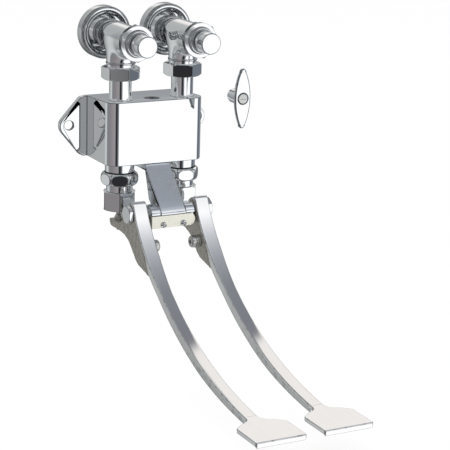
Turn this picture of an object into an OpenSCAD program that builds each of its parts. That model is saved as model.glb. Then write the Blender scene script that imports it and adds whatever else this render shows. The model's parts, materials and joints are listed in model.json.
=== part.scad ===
// Wall-mounted pedal valve: two loose-key stops feed a mixing box,
// and two long foot pedals lift the self-closing valves below it.
// The wall is the plane y = 0, the front faces -Y, and z = 0 is the middle of the box.

/* [Layout] */
// Distance between the hot and the cold supply
supply_spacing = 65; // [62:0.5:70]
// Distance from the middle of the tubes to the box's front plate
front_cover = 16; // [15.5:0.5:18]
// Height of the stops above the middle of the box
stop_height = 89.5; // [87:0.5:100]

/* [Stops] */
// Diameter of a wall flange
flange_d = 50.8; // [46:0.2:56]
// Depth of a wall flange
flange_depth = 13; // [11:0.5:16]
// Thickness of a wall flange
flange_wall = 1.6; // [1.2:0.1:2.4]
// Width of the raised rim on the flange's face
flange_rim = 4; // [3:0.5:6]
// Diameter of the shank that passes the flange
shank_d = 22.2; // [21.6:0.1:24]
// Inner diameter of the inlet thread
inlet_d = 18.6; // [17:0.1:19]
// Depth of the inlet thread
inlet_depth = 15; // [12:1:18]
// Diameter of the stop body
body_d = 28.6; // [27.6:0.2:31]
// Where the stop body starts, from the wall
body_back = 20; // [18:0.5:22]
// Length of the stop body in front of the tube's axis
body_reach = 32; // [31:0.5:34]
// Diameter of the waterway through a stop
water_d = 11; // [9:0.5:12]
// Diameter of the chamber that holds the stop's disc
chamber_d = 22; // [21:0.2:23]
// Diameter of the outlet below a stop
outlet_d = 27.3; // [26.4:0.1:28.2]
// Length of the outlet below the stop's axis
outlet_drop = 24; // [22:0.5:26]
// Distance across the flats of the bonnet
bonnet_af = 31; // [29:0.5:34]
// Length of the bonnet's hexagon
bonnet_len = 5.5; // [4.5:0.5:7]
// Diameter of the collar in front of the bonnet
collar_d = 25; // [23:0.5:26]
// Length of that collar
collar_len = 3.5; // [2.5:0.5:4]
// Diameter of the boss that carries the cap
boss_d = 17.6; // [16.8:0.2:19]
// Length of the boss beyond the collar
boss_len = 6.5; // [6:0.5:7]
// Diameter of the cap
cap_d = 20.2; // [19.6:0.2:22.4]
// Length of the cap
cap_len = 15.2; // [15:0.1:17]
// Chamfer round the cap's front
cap_chamfer = 1.3; // [0.6:0.1:2]
// Diameter of a stop's stem
stem_d = 8; // [7:0.2:8.6]
// Diameter of the stem's thread
stem_thread_d = 11; // [10:0.2:12]
// Distance across the flats of the stem's square end
stem_square = 5.4; // [4.6:0.1:5.6]
// How far a stop opens
stop_travel = 4; // [3:0.1:4.2]

/* [Couplings and tubes] */
// Outer diameter of a supply tube
tube_d = 21.3; // [20:0.1:22.4]
// Wall of a supply tube
tube_wall = 2; // [1.5:0.1:2.5]
// How far a tube goes into the box
tube_socket = 8.5; // [7:0.5:10]
// Distance across the flats of a coupling nut
nut_af = 32; // [31.4:0.1:34]
// Height of a coupling nut
nut_h = 12; // [11:0.5:14]
// Thickness of a coupling washer
washer_t = 2; // [1.5:0.1:2.5]

/* [Box] */
// Width of the box
box_w = 100; // [98:1:110]
// Height of the box
box_h = 61; // [58:1:66]
// Depth of the box, from the wall to its front plate
box_depth = 61.5; // [60.5:0.5:66]
// Radius of the box's front corners
box_corner = 12; // [8:0.5:14]
// Distance between the two wall screws
ear_spacing = 134.6; // [130:0.2:142]
// Diameter of a wall screw's hole
ear_hole_d = 9; // [6:0.2:10]
// Radius of an ear's tip
ear_tip_r = 10.4; // [9.6:0.2:12]
// Thickness of an ear's rim
ear_rim_t = 6.8; // [6:0.2:8]
// Thickness of an ear inside its rim
ear_web_t = 2.8; // [2.4:0.2:4]
// Width of an ear's rim
ear_rim_w = 3.6; // [3:0.2:4]
// Width of the rim beside the box
ear_root_w = 7.5; // [6:0.5:9]
// How much lower the box's top is at the wall than at its front
rear_drop = 2.2; // [0:0.2:4]
// Inner diameter of the mixed water outlet's thread
mix_d = 15.2; // [13:0.2:16]
// Depth of the mixed water outlet's thread
mix_depth = 14; // [11:1:16]
// Wall of the box
box_wall = 5; // [4:0.5:6]

/* [Valves] */
// Diameter of a valve barrel
barrel_d = 28.2; // [27.6:0.2:30]
// Length of a barrel that shows below the box
barrel_len = 8.5; // [7.5:0.5:10]
// Largest diameter of a bead nut
bead_d = 36.4; // [35:0.2:38]
// Distance across the flats of a bead nut
bead_af = 32.5; // [32:0.5:34]
// Height of a bead nut
bead_h = 12.5; // [11.5:0.5:14]
// Diameter of the neck below a bead nut
neck_d = 25.4; // [24:0.2:26]
// Length of that neck
neck_len = 6.5; // [5.5:0.5:8]
// Distance across the flats of a valve body
valve_af = 29.3; // [28:0.1:31]
// Height of a valve body's hexagon
valve_h = 18; // [16:0.5:19]
// Diameter of a valve stem
push_d = 6; // [5:0.2:7]
// How far a valve stem stands out of its body
push_out = 4.9; // [4.6:0.1:5.2]
// Diameter of the chamber round a valve's disc
disc_bore_d = 17; // [16:0.2:18]
// Diameter of the water's way through a valve seat
seat_bore_d = 10; // [9:0.2:11]
// Diameter of the return spring's wire
wire_d = 1.6; // [1.2:0.1:1.8]
// Number of the return spring's turns
spring_turns = 5; // [4:1:6]

/* [Hinge] */
// Distance from the box's front plate to the hinge pin
pivot_reach = 24; // [23:0.5:27]
// Depth of the hinge pin below the middle of the box
pivot_drop = 71.5; // [71:0.5:76]
// Diameter of the hinge pin
pin_d = 8; // [6:0.5:9]
// Distance across the flats of the hinge pin's head and nut
pin_head_af = 16.6; // [14:0.2:18]
// Thickness of the hinge pin's head and nut
pin_head_t = 3.9; // [3:0.1:5]
// Width of the hinge arm
arm_w = 26; // [22:0.5:28]
// Thickness of the hinge arm's base under the box
arm_base_t = 6.2; // [5:0.2:7.5]
// Distance from the hinge pin to the front of the hinge bar
bar_front = 13.3; // [12.5:0.1:14.5]
// Height of the hinge bar above the pin
bar_top = 8; // [7.5:0.5:9]
// Height of the keeper plate
keeper_h = 11.8; // [10.5:0.2:13]
// Thickness of the keeper plate
keeper_t = 3.2; // [2.4:0.2:4]
// Distance between the keeper's screws
keeper_pitch = 21; // [18:0.5:24]
// Diameter of a keeper screw
keeper_screw_d = 4; // [3:0.2:4.2]
// Thickness of a thrust washer
thrust_t = 2.2; // [1.5:0.1:2.6]

/* [Pedals] */
// Width of a pedal's upper plate
pedal_w = 14; // [13:0.5:14.5]
// How much narrower the arm is below that plate
pedal_taper = 2.7; // [1.5:0.1:3]
// Thickness of a pedal's arm at mid length
pedal_t = 10.8; // [9:0.2:12]
// Thickness of a pedal's plate over its rocker
plate_t = 3.6; // [3:0.2:4]
// Length of a foot pad
pad_len = 57.5; // [52:0.5:62]
// Width of a foot pad
pad_w = 48; // [44:0.5:52]
// Thickness of a foot pad
pad_t = 3.8; // [3:0.2:5]
// Height of a foot pad's front lip
pad_lip = 5; // [4.6:0.2:7]
// Thickness of the tongue that joins a pedal to its rocker
tongue_t = 6; // [5:0.5:7]
// Diameter of the bolt that joins them
bolt_d = 5; // [4:0.5:6]
// Diameter of an adjusting screw
adjuster_d = 5; // [4:0.5:6]
// Thickness of a rocker's rear arm
rear_arm_t = 7.3; // [6.5:0.1:8]

/* [Loose key] */
// Height of the loose key's grip
key_h = 57; // [50:1:64]
// Width of the loose key's grip
key_w = 16.4; // [14:0.2:20]
// Thickness of the loose key's grip
key_t = 4; // [3:0.2:5]
// Diameter of the loose key's hub
key_hub_d = 13.5; // [12:0.5:14]
// Length of the loose key's hub behind its grip
key_hub_len = 16; // [14:0.5:22]
// How far to the right of the middle the key lies
key_side = 63; // [60:1:75]
// Height of the key above the middle of the box
key_up = 37.5; // [36:0.5:45]

/* [Fits] */
// Radial clearance of threads and other fixed fits
fit = 0.1; // [0.06:0.02:0.14]
// Radial clearance of fits that turn or slide
run = 0.06; // [0.03:0.01:0.08]
// End clearance between a moving piece and its neighbour
gap = 0.3; // [0.2:0.05:0.4]

/* [Hidden] */
$fn = 64;

chrome = [0.80, 0.82, 0.84];
shade_chrome = [0.60, 0.65, 0.70];
nickel = [0.62, 0.60, 0.57];
cream = [0.84, 0.82, 0.74];
brass = [0.80, 0.66, 0.36];
rubber = [0.12, 0.12, 0.12];
steel = [0.70, 0.71, 0.72];

half_spacing = supply_spacing / 2;
axis_depth = box_depth - front_cover;
pivot_depth = box_depth + pivot_reach;
box_top = box_h / 2;

// Stop levels, as distances from the wall
body_front = axis_depth + body_reach;
bonnet_front = body_front + bonnet_len;
collar_front = bonnet_front + collar_len;
boss_front = collar_front + boss_len;
shoulder_len = 1.4;
shoulder_d = collar_d - 3.6;
cap_back = collar_front + shoulder_len + 2;
cap_front = cap_back + cap_len;
cap_end_wall = 2.2;
seat_face = axis_depth - 5.5;
seat_lip_h = 3;
seat_lip_w = 2;
gland_d = stem_d + 4.6;
gland_back = bonnet_front - 3;
packing_t = 4.5;
gland_nut_af = stem_d + 5.4;
gland_nut_h = 3.2;
stem_end = cap_front - cap_end_wall - stop_travel - 0.7;
disc_t = 1.7;
disc_d = chamber_d - 4;
holder_h = 7;
holder_back = seat_face + gap + disc_t;
stem_tip = holder_back + 2.7;
bonnet_shank_back = body_front - 16;
thread_bore_front = gland_back - 2.5;
stem_thread_len = thread_bore_front - bonnet_shank_back - stop_travel - 4;

// Coupling levels, as heights
outlet_thread = 8;
outlet_end = stop_height - outlet_drop - outlet_thread;
outlet_thread_d = outlet_d - 1;
tube_collar_t = 1.9;
nut_floor = 2.9;
washer_top = outlet_end;
tube_top = washer_top - washer_t;
nut_bottom = tube_top - tube_collar_t - nut_floor;
tube_bottom = box_top - tube_socket;

// Box levels, as heights
ear_x = ear_spacing / 2;
column_wall = 4;
spring_top = tube_bottom - 4;
spring_stop_d = disc_bore_d - 5;
seat_level = -8;
seat_t = 3;
cross_d = 8;
cross_level = seat_level - seat_t - 1 - cross_d / 2;
barrel_thread = 9;
barrel_thread_d = barrel_d - 2.2;
valve_disc_t = 2.6;
head_t = 3.2;
valve_disc_d = disc_bore_d - 2.6;
spring_bottom = seat_level + gap + valve_disc_t + head_t;

// Valve levels, as heights
barrel_bottom = -box_top - barrel_len - 7;
bead_top = -box_top - barrel_len;
bead_bottom = bead_top - bead_h;
flange_t = 2.3;
neck_bottom = bead_bottom - neck_len;
valve_bottom = neck_bottom - valve_h;
push_bottom = valve_bottom - push_out;
barrel_bore_d = barrel_d - 8;
guide_top = -box_top - 2.5;
valve_turn = -23.5;
seal_t = 3;

// Hinge
bar_half = half_spacing - pedal_w / 2 - thrust_t - 2 * gap;
bar_back = 8.5;
keeper_top_drop = 0.9;
bar_low = keeper_top_drop + keeper_h;
keeper_screw_drop = pin_d / 2 + keeper_screw_d / 2 + 3.7;
keeper_face = pivot_depth + bar_front;
seat_plane = keeper_face - keeper_t;
head_d = keeper_screw_d + 1.8;
arm_back = 12;
arm_screw_d = 5;
arm_screw_deep = 9;

// Pedals, in the side plane: distance from the wall, then height
pedal_line = [[pivot_depth + 7, 10 - pivot_drop], [pivot_depth + 28.5, -34.8 - pivot_drop],
  [pivot_depth + 102, -105.7 - pivot_drop], [pivot_depth + 232.5, -119 - pivot_drop]];
nose_r = 5;
pedal_depths = [[0, plate_t], [0.25, plate_t], [0.34, pedal_t], [0.75, pedal_t], [0.93, pad_t + 4.6], [1, pad_t + 4]];
tongue_depths = [[0, plate_t], [0.14, plate_t + 14], [0.27, plate_t + 15], [0.34, pedal_t]];
tongue_start = 0.12;
tongue_stop = 0.31;
rocker_start = 0.055;
rocker_stop = 0.345;
steps = 40;
bolt_at = [pivot_depth + 15.5, -28.5 - pivot_drop];
dowel_at = [pivot_depth + 12, -15 - pivot_drop];
dowel_d = 3;
adjuster_out = 5;
rear_arm_top = push_bottom - gap - adjuster_out;
lock_nut_h = 2.2;
adjuster_head_d = adjuster_d + 3;
rear_arm_low = rear_arm_top - rear_arm_t;
neck_at = pedal_line[3];
neck_w = pedal_w - 2;

key_face = cap_front + 8;

function bezier(p, t) = pow(1 - t, 3) * p[0] + 3 * pow(1 - t, 2) * t * p[1]
  + 3 * (1 - t) * t * t * p[2] + t * t * t * p[3];
function bezier_slope(p, t) = 3 * pow(1 - t, 2) * (p[1] - p[0])
  + 6 * (1 - t) * t * (p[2] - p[1]) + 3 * t * t * (p[3] - p[2]);
// Unit vector from the pedal's face into its thickness
function inward(t) = let (s = bezier_slope(pedal_line, t)) [s[1], -s[0]] / norm(s);
function under_face(t, depth) = bezier(pedal_line, t) + depth * inward(t);
// Arc that rolls the plate's upper end back over the pin
function nose(r) = let (turn = atan2(-inward(0)[1], -inward(0)[0]))
  [for (i = [1:7]) bezier(pedal_line, 0) + nose_r * inward(0)
    + r * [cos(turn + (82 - turn) * i / 7), sin(turn + (82 - turn) * i / 7)]];
function span(from, to) = [for (i = [0:steps]) from + (to - from) * i / steps];
function reversed(list) = [for (i = [len(list) - 1:-1:0]) list[i]];
// Point where the line from p touches a circle; way is 1 or -1
function touch(p, centre, r, way) = let (d = p - centre, a = atan2(d[1], d[0]) + way * acos(r / norm(d)))
  centre + r * [cos(a), sin(a)];

module rod(d, from, to) {
  translate([0, 0, from]) cylinder(d = d, h = to - from);
}
module tube(outer, inner, from, to) {
  difference() {
    rod(outer, from, to);
    rod(inner, from - 1, to + 1);
  }
}
module lathe(points) {
  rotate_extrude() polygon(points);
}
module hexagon(af, from, to, turn) {
  rotate([0, 0, turn]) translate([0, 0, from]) cylinder(d = af / cos(30), h = to - from, $fn = 6);
}
// Hexagon whose corners are turned down to a cone at both ends
module chamfered_hexagon(af, from, to, turn, low, high) {
  corner = af / cos(30) / 2;
  intersection() {
    hexagon(af, from, to, turn);
    lathe([[0, from], [corner - low, from], [corner + 0.2, from + (low + 0.2) * 0.6],
      [corner + 0.2, to - (high + 0.2) * 0.6], [corner - high, to], [0, to]]);
  }
}
// On a stop's axis, with the child's +Z pointing away from the wall
module at_stop(side) {
  translate([side * half_spacing, 0, stop_height]) rotate([90, 0, 0]) children();
}
// On the upright axis of a tube and its valve
module at_valve(side) {
  translate([side * half_spacing, -axis_depth, 0]) children();
}
// Across a pedal's side plane, with the child's +Z pointing to the right
module across(at) {
  translate([0, -at[0], at[1]]) rotate([0, 90, 0]) children();
}
// Stands a side-plane outline up as a slab of the given width
module slab(middle, width) {
  translate([middle + width / 2, 0, 0]) rotate([90, 0, -90]) linear_extrude(width) children();
}

module wall_flange(side) {
  r = flange_d / 2;
  hole = shank_d / 2 + fit;
  w = flange_wall;
  front = flange_depth;
  color(chrome) at_stop(side) lathe([[r, 0], [r, front - 2.4], [r - 0.5, front - 0.9], [r - 1.6, front],
    [r - flange_rim, front], [r - flange_rim - 0.6, front - 1.4], [r - flange_rim - 3, front - 2.4],
    [hole + 1.5, front - 3.4], [hole, front - 3.4], [hole, front - 3.4 - w],
    [r - flange_rim - 3, front - 2.6 - w], [r - w - 0.6, front - 1.8 - w], [r - w, front - 3.2 - w],
    [r - w, 0]]);
}
module stop_body(side) {
  r = body_d / 2;
  neck = outlet_d / 2;
  color(chrome) at_stop(side) difference() {
    union() {
      rod(shank_d, 0, body_back + 2);
      lathe([[0, body_back], [r - 0.6, body_back], [r + 0.6, body_back + 0.8], [r + 0.6, body_back + 2.2],
        [r, body_back + 3.2], [r, body_front - 1], [r - 0.8, body_front], [0, body_front]]);
      translate([0, 0, axis_depth]) rotate([90, 0, 0]) lathe([[0, 0], [neck + 0.6, 0],
        [neck + 0.6, outlet_drop - 10], [neck, outlet_drop - 6], [neck, outlet_drop - 2],
        [neck + 0.5, outlet_drop - 1.5], [neck + 0.5, outlet_drop], [outlet_thread_d / 2, outlet_drop],
        [outlet_thread_d / 2, outlet_drop + outlet_thread], [0, outlet_drop + outlet_thread]]);
    }
    rod(inlet_d, -1, inlet_depth);
    rod(water_d, inlet_depth - 1, seat_face + 1);
    tube(chamber_d, water_d + 2 * seat_lip_w, seat_face - seat_lip_h, seat_face);
    rod(chamber_d, seat_face, body_front + 1);
    translate([0, 0, axis_depth + 0.5]) rotate([90, 0, 0]) rod(water_d + 2, 0, outlet_drop + outlet_thread + 1);
  }
}
module stop_bonnet(side) {
  corner = bonnet_af / cos(30) / 2;
  turn = side < 0 ? 93 : 104;
  color(chrome) at_stop(side) difference() {
    union() {
      rod(chamber_d - 2 * fit, bonnet_shank_back, body_front + 1);
      intersection() {
        hexagon(bonnet_af, body_front, bonnet_front, turn);
        lathe([[0, body_front], [corner - 0.9, body_front], [corner + 0.1, body_front + 0.7],
          [corner + 0.1, bonnet_front - 0.8], [corner - 1.1, bonnet_front], [0, bonnet_front]]);
      }
      rod(collar_d, bonnet_front - 1, collar_front);
      rod(shoulder_d, bonnet_front, collar_front + shoulder_len);
      rod(boss_d, bonnet_front, boss_front);
    }
    rod(stem_thread_d + 2 * run, bonnet_shank_back - 1, thread_bore_front);
    rod(stem_d + 2 * run, bonnet_shank_back, boss_front + 1);
    rod(gland_d, gland_back, boss_front + 1);
  }
}
module stem_packings() {
  for (side = [-1, 1])
    color(rubber) at_stop(side) tube(gland_d - 2 * fit, stem_d + 2 * run, gland_back, gland_back + packing_t);
}
module packing_nuts() {
  for (side = [-1, 1]) color(brass) at_stop(side) difference() {
    union() {
      rod(gland_d - 2 * fit, gland_back + packing_t, boss_front);
      hexagon(gland_nut_af, boss_front, boss_front + gland_nut_h, 0);
    }
    rod(stem_d + 2 * run, gland_back, boss_front + gland_nut_h + 1);
  }
}
module stop_stem(side) {
  thread_back = bonnet_shank_back + 4;
  square_back = boss_front + gland_nut_h - 1;
  color(brass) at_stop(side) union() {
    rod(stem_d, stem_tip, square_back);
    rod(stem_thread_d, thread_back, thread_back + stem_thread_len);
    translate([-stem_square / 2, -stem_square / 2, square_back]) cube([stem_square, stem_square, stem_end - square_back]);
  }
}
module stop_disc(side) {
  color(brass) at_stop(side) difference() {
    union() {
      rod(disc_d - 1, seat_face + gap, holder_back);
      rod(disc_d, holder_back, holder_back + holder_h);
    }
    rod(stem_d + 2 * run, stem_tip - gap, holder_back + holder_h + 1);
  }
}
module stop_cap(side) {
  r = cap_d / 2;
  bore = boss_d / 2 + run;
  color(chrome) at_stop(side) difference() {
    lathe([[0, cap_back], [r - 0.4, cap_back], [r, cap_back + 0.5], [r, cap_front - cap_chamfer],
      [r - cap_chamfer, cap_front], [0, cap_front]]);
    rod(2 * bore, cap_back - 1, cap_front - cap_end_wall);
  }
}
module coupling_nut(side) {
  turn = side < 0 ? 32 : 34.5;
  color(chrome) at_valve(side) difference() {
    chamfered_hexagon(nut_af, nut_bottom, nut_bottom + nut_h, turn, 2.2, 1.6);
    rod(tube_d + 2 * fit, nut_bottom - 1, nut_bottom + nut_floor + 1);
    rod(outlet_thread_d + 2 * fit, nut_bottom + nut_floor, nut_bottom + nut_h + 1);
  }
}
module coupling_washers() {
  for (side = [-1, 1])
    color(rubber) at_valve(side) tube(outlet_thread_d, tube_d - 2 * tube_wall, tube_top, washer_top);
}
module supply_tube(side) {
  color(chrome) at_valve(side) difference() {
    union() {
      rod(tube_d, tube_bottom, tube_top);
      rod(outlet_thread_d - 0.6, tube_top - tube_collar_t, tube_top);
    }
    rod(tube_d - 2 * tube_wall, tube_bottom - 1, tube_top + 1);
  }
}
function arc(centre, r, from, to) = [for (i = [0:8]) let (a = from + (to - from) * i / 8)
  centre + r * [cos(a), sin(a)]];
// One ear's outline: its tip, a rounded shoulder at each corner, and straight edges between them
module ear_outline(side, root_x, shoulder_r, inset) {
  tip = [ear_x, 0];
  r = ear_tip_r - inset;
  high = box_top - rear_drop - shoulder_r - inset * 1.5;
  low = box_top - shoulder_r - inset * 1.5;
  upper = [root_x, high];
  lower = [root_x, -low];
  up = atan2(tip[1] - upper[1], tip[0] - upper[0]) + acos((shoulder_r - r) / norm(tip - upper));
  down = atan2(tip[1] - lower[1], tip[0] - lower[0]) - acos((shoulder_r - r) / norm(tip - lower));
  root = inset > 0 ? root_x - shoulder_r : box_w / 2 - 3;
  mirror([side < 0 ? 1 : 0, 0]) polygon(concat([[root, -low - shoulder_r * (inset > 0 ? 0 : 1)]],
    arc(lower, shoulder_r, -90, down), arc(tip, r, down, up), arc(upper, shoulder_r, up, 90),
    [[root, high + shoulder_r * (inset > 0 ? 0 : 1)]]));
}
module wall_plate(outline_from, thickness) {
  translate([0, -outline_from, 0]) rotate([90, 0, 0]) linear_extrude(thickness) children();
}
module box_outline() {
  flat = box_w / 2 - box_corner;
  square_depth = box_depth - box_corner;
  translate([-box_w / 2, -square_depth]) square([box_w, square_depth]);
  translate([-flat, -box_depth]) square([2 * flat, box_depth]);
  for (side = [-1, 1]) translate([side * flat, -square_depth]) circle(r = box_corner);
}
module box_casting() {
  core_r = disc_bore_d / 2 + column_wall;
  core_back = axis_depth + core_r;
  outer_x = half_spacing - core_r;
  color(chrome) difference() {
    union() {
      intersection() {
        translate([0, 0, -box_top]) linear_extrude(box_h) box_outline();
        slab(0, box_w + 2) polygon([[0, -box_top - 1], [box_depth + 1, -box_top - 1], [box_depth + 1, box_top],
          [box_depth - box_corner - 2, box_top], [0, box_top - rear_drop]]);
      }
      for (side = [-1, 1]) wall_plate(0, ear_rim_t) ear_outline(side, box_w / 2 + 2.5, 7, 0);
    }
    for (side = [-1, 1]) {
      wall_plate(ear_web_t, ear_rim_t) ear_outline(side, box_w / 2 + ear_root_w + 2, 2, ear_rim_w);
      translate([side * ear_x, 1, 0]) rotate([90, 0, 0]) rod(ear_hole_d, 0, ear_rim_t + 2);
      // Hollow behind each column, open to the wall
      translate([side * half_spacing - core_r + 1, -axis_depth + core_r + 1, -box_top + box_wall])
        cube([2 * core_r - 2, axis_depth - core_r, box_h - 2 * box_wall]);
      at_valve(side) {
        rod(tube_d + 2 * fit, tube_bottom, box_top + 1);
        rod(spring_stop_d, spring_top - 1, tube_bottom + 1);
        rod(disc_bore_d, seat_level - seat_t, spring_top);
        rod(disc_bore_d - 1.6, -box_top, seat_level);
        rod(barrel_thread_d + 2 * fit, -box_top - 1, -box_top + barrel_thread);
      }
    }
    // Mixing chamber, with the cross port from both valves
    translate([0, -axis_depth, 0]) {
      rod(mix_d, box_top - mix_depth, box_top + 1);
      rod(mix_d - 3, cross_level - cross_d / 2, box_top);
    }
    translate([-half_spacing, -axis_depth, cross_level]) rotate([0, 90, 0]) rod(cross_d, 0, supply_spacing);
    for (spot = [-1, 1]) translate([spot * 7, -arm_back - 8, -box_top])
      rod(arm_screw_d + 2 * fit, -1, arm_screw_deep);
  }
}
module valve_seats() {
  for (side = [-1, 1])
    color(brass) at_valve(side) tube(disc_bore_d - 2 * fit, seat_bore_d, seat_level - seat_t + 0.1, seat_level);
}
module valve_barrel(side) {
  r = barrel_d / 2;
  color(chrome) at_valve(side) difference() {
    union() {
      rod(barrel_thread_d, -box_top, -box_top + barrel_thread - 0.2);
      lathe([[0, barrel_bottom], [r - 1.4, barrel_bottom], [r - 1, barrel_bottom + 0.4], [r - 1, bead_top],
        [r, bead_top + 0.6], [r, -box_top], [0, -box_top]]);
    }
    rod(barrel_bore_d, barrel_bottom - 1, -box_top - 2);
    rod(disc_bore_d - 1.6, -box_top - 3, -box_top + barrel_thread);
  }
}
module bead_nut(side) {
  r = bead_d / 2;
  middle = (bead_top + bead_bottom) / 2;
  turn = side < 0 ? -22 : -6.5;
  color(chrome) at_valve(side) difference() {
    intersection() {
      hexagon(bead_af, bead_bottom, bead_top, turn);
      lathe(concat([[0, bead_bottom]], [for (a = [-66:6:66])
        [r - 5.2 + 5.2 * cos(a), middle + bead_h / 2 * sin(a) / sin(66)]], [[0, bead_top]]));
    }
    rod(barrel_d - 2 + 2 * fit, bead_bottom + 2.4, bead_top + 1);
    rod(neck_d + 2 * fit, bead_bottom - 1, bead_bottom + 3);
  }
}
module valve_body(side) {
  color(chrome) at_valve(side) difference() {
    union() {
      rod(neck_d, neck_bottom - 1, bead_bottom + 2.5);
      rod(barrel_d - 2.4, bead_bottom + 2.5, barrel_bottom - 0.1);
      rod(barrel_bore_d - 2 * fit, barrel_bottom - 0.2, guide_top);
      chamfered_hexagon(valve_af, valve_bottom, neck_bottom, valve_turn - 90, 1.6, 1.4);
    }
    rod(push_d + 2 * run, valve_bottom - 1, valve_bottom + 12);
    rod(push_d + 7, valve_bottom + 8, guide_top + 1);
  }
}
module valve_seals() {
  for (side = [-1, 1]) color(rubber) at_valve(side)
    tube(push_d + 7 - 2 * fit, push_d + 2 * run, valve_bottom + 8, valve_bottom + 8 + seal_t);
}
module push_stem(side) {
  color(steel) at_valve(side) union() {
    rod(push_d, push_bottom, spring_bottom - head_t);
    rod(valve_disc_d, spring_bottom - head_t, spring_bottom);
    rod(push_d, spring_bottom, spring_bottom + 3);
  }
}
module valve_disc(side) {
  color(rubber) at_valve(side)
    tube(valve_disc_d - 0.4, push_d + 0.1, seat_level + gap, seat_level + gap + valve_disc_t);
}
// Helical wire: one closed tube swept with eight rings a turn
module return_spring(side) {
  sides = 6;
  coil_r = (disc_bore_d - 1.2 - wire_d) / 2;
  rise = spring_top - spring_bottom - wire_d;
  rings = spring_turns * 8;
  points = [for (i = [0:rings]) for (k = [0:sides - 1]) let (a = 360 * spring_turns * i / rings,
    b = 360 * k / sides, r = coil_r + wire_d / 2 * cos(b))
    [r * cos(a), r * sin(a), spring_bottom + wire_d / 2 + rise * i / rings + wire_d / 2 * sin(b)]];
  sleeve = [for (i = [0:rings - 1]) for (k = [0:sides - 1]) let (n = (k + 1) % sides, low = i * sides)
    each [[low + k, low + sides + k, low + n], [low + n, low + sides + k, low + sides + n]]];
  start = [for (k = [1:sides - 2]) [0, k, k + 1]];
  end = [for (k = [1:sides - 2]) [rings * sides, rings * sides + k + 1, rings * sides + k]];
  color(steel) at_valve(side) polyhedron(points, concat(start, sleeve, end));
}
module hinge_arm() {
  under = -box_top - arm_base_t;
  top = -pivot_drop + bar_top;
  face = keeper_face;
  back = pivot_depth - bar_back;
  plane = seat_plane;
  step = -pivot_drop - keeper_top_drop + 0.2;
  low = -pivot_drop - bar_low;
  color(shade_chrome) difference() {
    union() {
      slab(0, arm_w) polygon([[arm_back, -box_top], [box_depth - 0.6, -box_top], [box_depth + 1, -box_top - 2.4],
        [face - 8, top + 2.8], [face - 4.4, top - 1], [face - 1.4, top - 4], [face, top - 6.4], [face, step],
        [back + 4, step], [back - 7, under - 26], [box_depth - 0.6, under], [arm_back, under]]);
      slab(0, 2 * bar_half) polygon([[back + 1.5, low], [plane, low], [plane, step], [face - 1, step], [face - 1, top - 6],
        [face - 2.4, top - 3.4], [face - 4.8, top - 1.6], [face - 8, top - 1], [back + 4, top - 1],
        [back + 1, top - 3.6], [back, top - 7],
        [back, low + 1.5]]);
    }
    translate([0, -pivot_depth, -pivot_drop]) rotate([0, 90, 0]) rod(pin_d + 2 * fit, -bar_half - 1, bar_half + 1);
    for (spot = [-1, 1]) {
      translate([spot * keeper_pitch / 2, -seat_plane, -pivot_drop - keeper_screw_drop]) rotate([90, 0, 0])
        rod(keeper_screw_d + 2 * fit, -9, 1);
      translate([spot * 7, -arm_back - 8, 0]) rod(arm_screw_d + 2 * fit, under - 1, -box_top + 1);
    }
  }
}
module arm_screws() {
  under = -box_top - arm_base_t;
  for (spot = [-1, 1]) color(steel) translate([spot * 7, -arm_back - 8, 0]) difference() {
    union() {
      rod(arm_screw_d, under, -box_top + arm_screw_deep - 0.5);
      rod(arm_screw_d + 3.5, under - 4, under);
    }
    hexagon(arm_screw_d - 1, under - 5, under - 1.5, 0);
  }
}
module keeper_plate() {
  low = -pivot_drop - keeper_top_drop - keeper_h;
  end_r = keeper_h / 2 - 0.6;
  flat = bar_half - end_r;
  color(cream) difference() {
    union() {
      translate([-bar_half, -keeper_face, low]) cube([bar_half + flat, keeper_t, keeper_h]);
      translate([0, -keeper_face, low]) cube([flat, keeper_t, keeper_h]);
      translate([flat, -seat_plane, low + end_r]) rotate([90, 0, 0]) rod(2 * end_r, 0, keeper_t);
      translate([flat, -seat_plane, low + keeper_h - end_r]) rotate([90, 0, 0]) rod(2 * end_r, 0, keeper_t);
    }
    for (spot = [-1, 1]) translate([spot * keeper_pitch / 2, -seat_plane, -pivot_drop - keeper_screw_drop])
      rotate([90, 0, 0]) rod(keeper_screw_d + 2 * fit, -1, keeper_t + 1);
  }
}
module keeper_screws() {
  for (spot = [-1, 1]) color(chrome)
    translate([spot * keeper_pitch / 2, -seat_plane, -pivot_drop - keeper_screw_drop]) rotate([90, 0, 0]) difference() {
      union() {
        rod(keeper_screw_d, -8.5, keeper_t);
        lathe([[0, keeper_t], [head_d / 2, keeper_t], [head_d / 2, keeper_t + 0.8], [head_d / 2 - 0.7, keeper_t + 1.7],
          [head_d / 2 - 1.8, keeper_t + 2.2], [0, keeper_t + 2.4]]);
      }
      translate([-head_d, -0.4, keeper_t + 1.5]) cube([2 * head_d, 0.8, 2]);
    }
}
module hinge_pin() {
  edge = half_spacing + pedal_w / 2 + gap;
  color(chrome) across([pivot_depth, -pivot_drop]) union() {
    rod(pin_d, -edge - 0.5, edge + pin_head_t + 0.6);
    mirror([0, 0, 1]) chamfered_hexagon(pin_head_af, edge, edge + pin_head_t, 0, 0.2, 1.2);
  }
}
module pin_nut() {
  edge = half_spacing + pedal_w / 2 + gap;
  color(chrome) across([pivot_depth, -pivot_drop]) difference() {
    chamfered_hexagon(pin_head_af, edge, edge + pin_head_t, 0, 0.2, 1.2);
    rod(pin_d + 2 * fit, edge - 1, edge + pin_head_t + 1);
  }
}
module thrust_washers() {
  for (side = [-1, 1]) color(steel) across([pivot_depth, -pivot_drop])
    tube(pin_d + 6, pin_d + 2 * fit, side < 0 ? -bar_half - thrust_t : bar_half, side < 0 ? -bar_half : bar_half + thrust_t);
}
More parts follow.
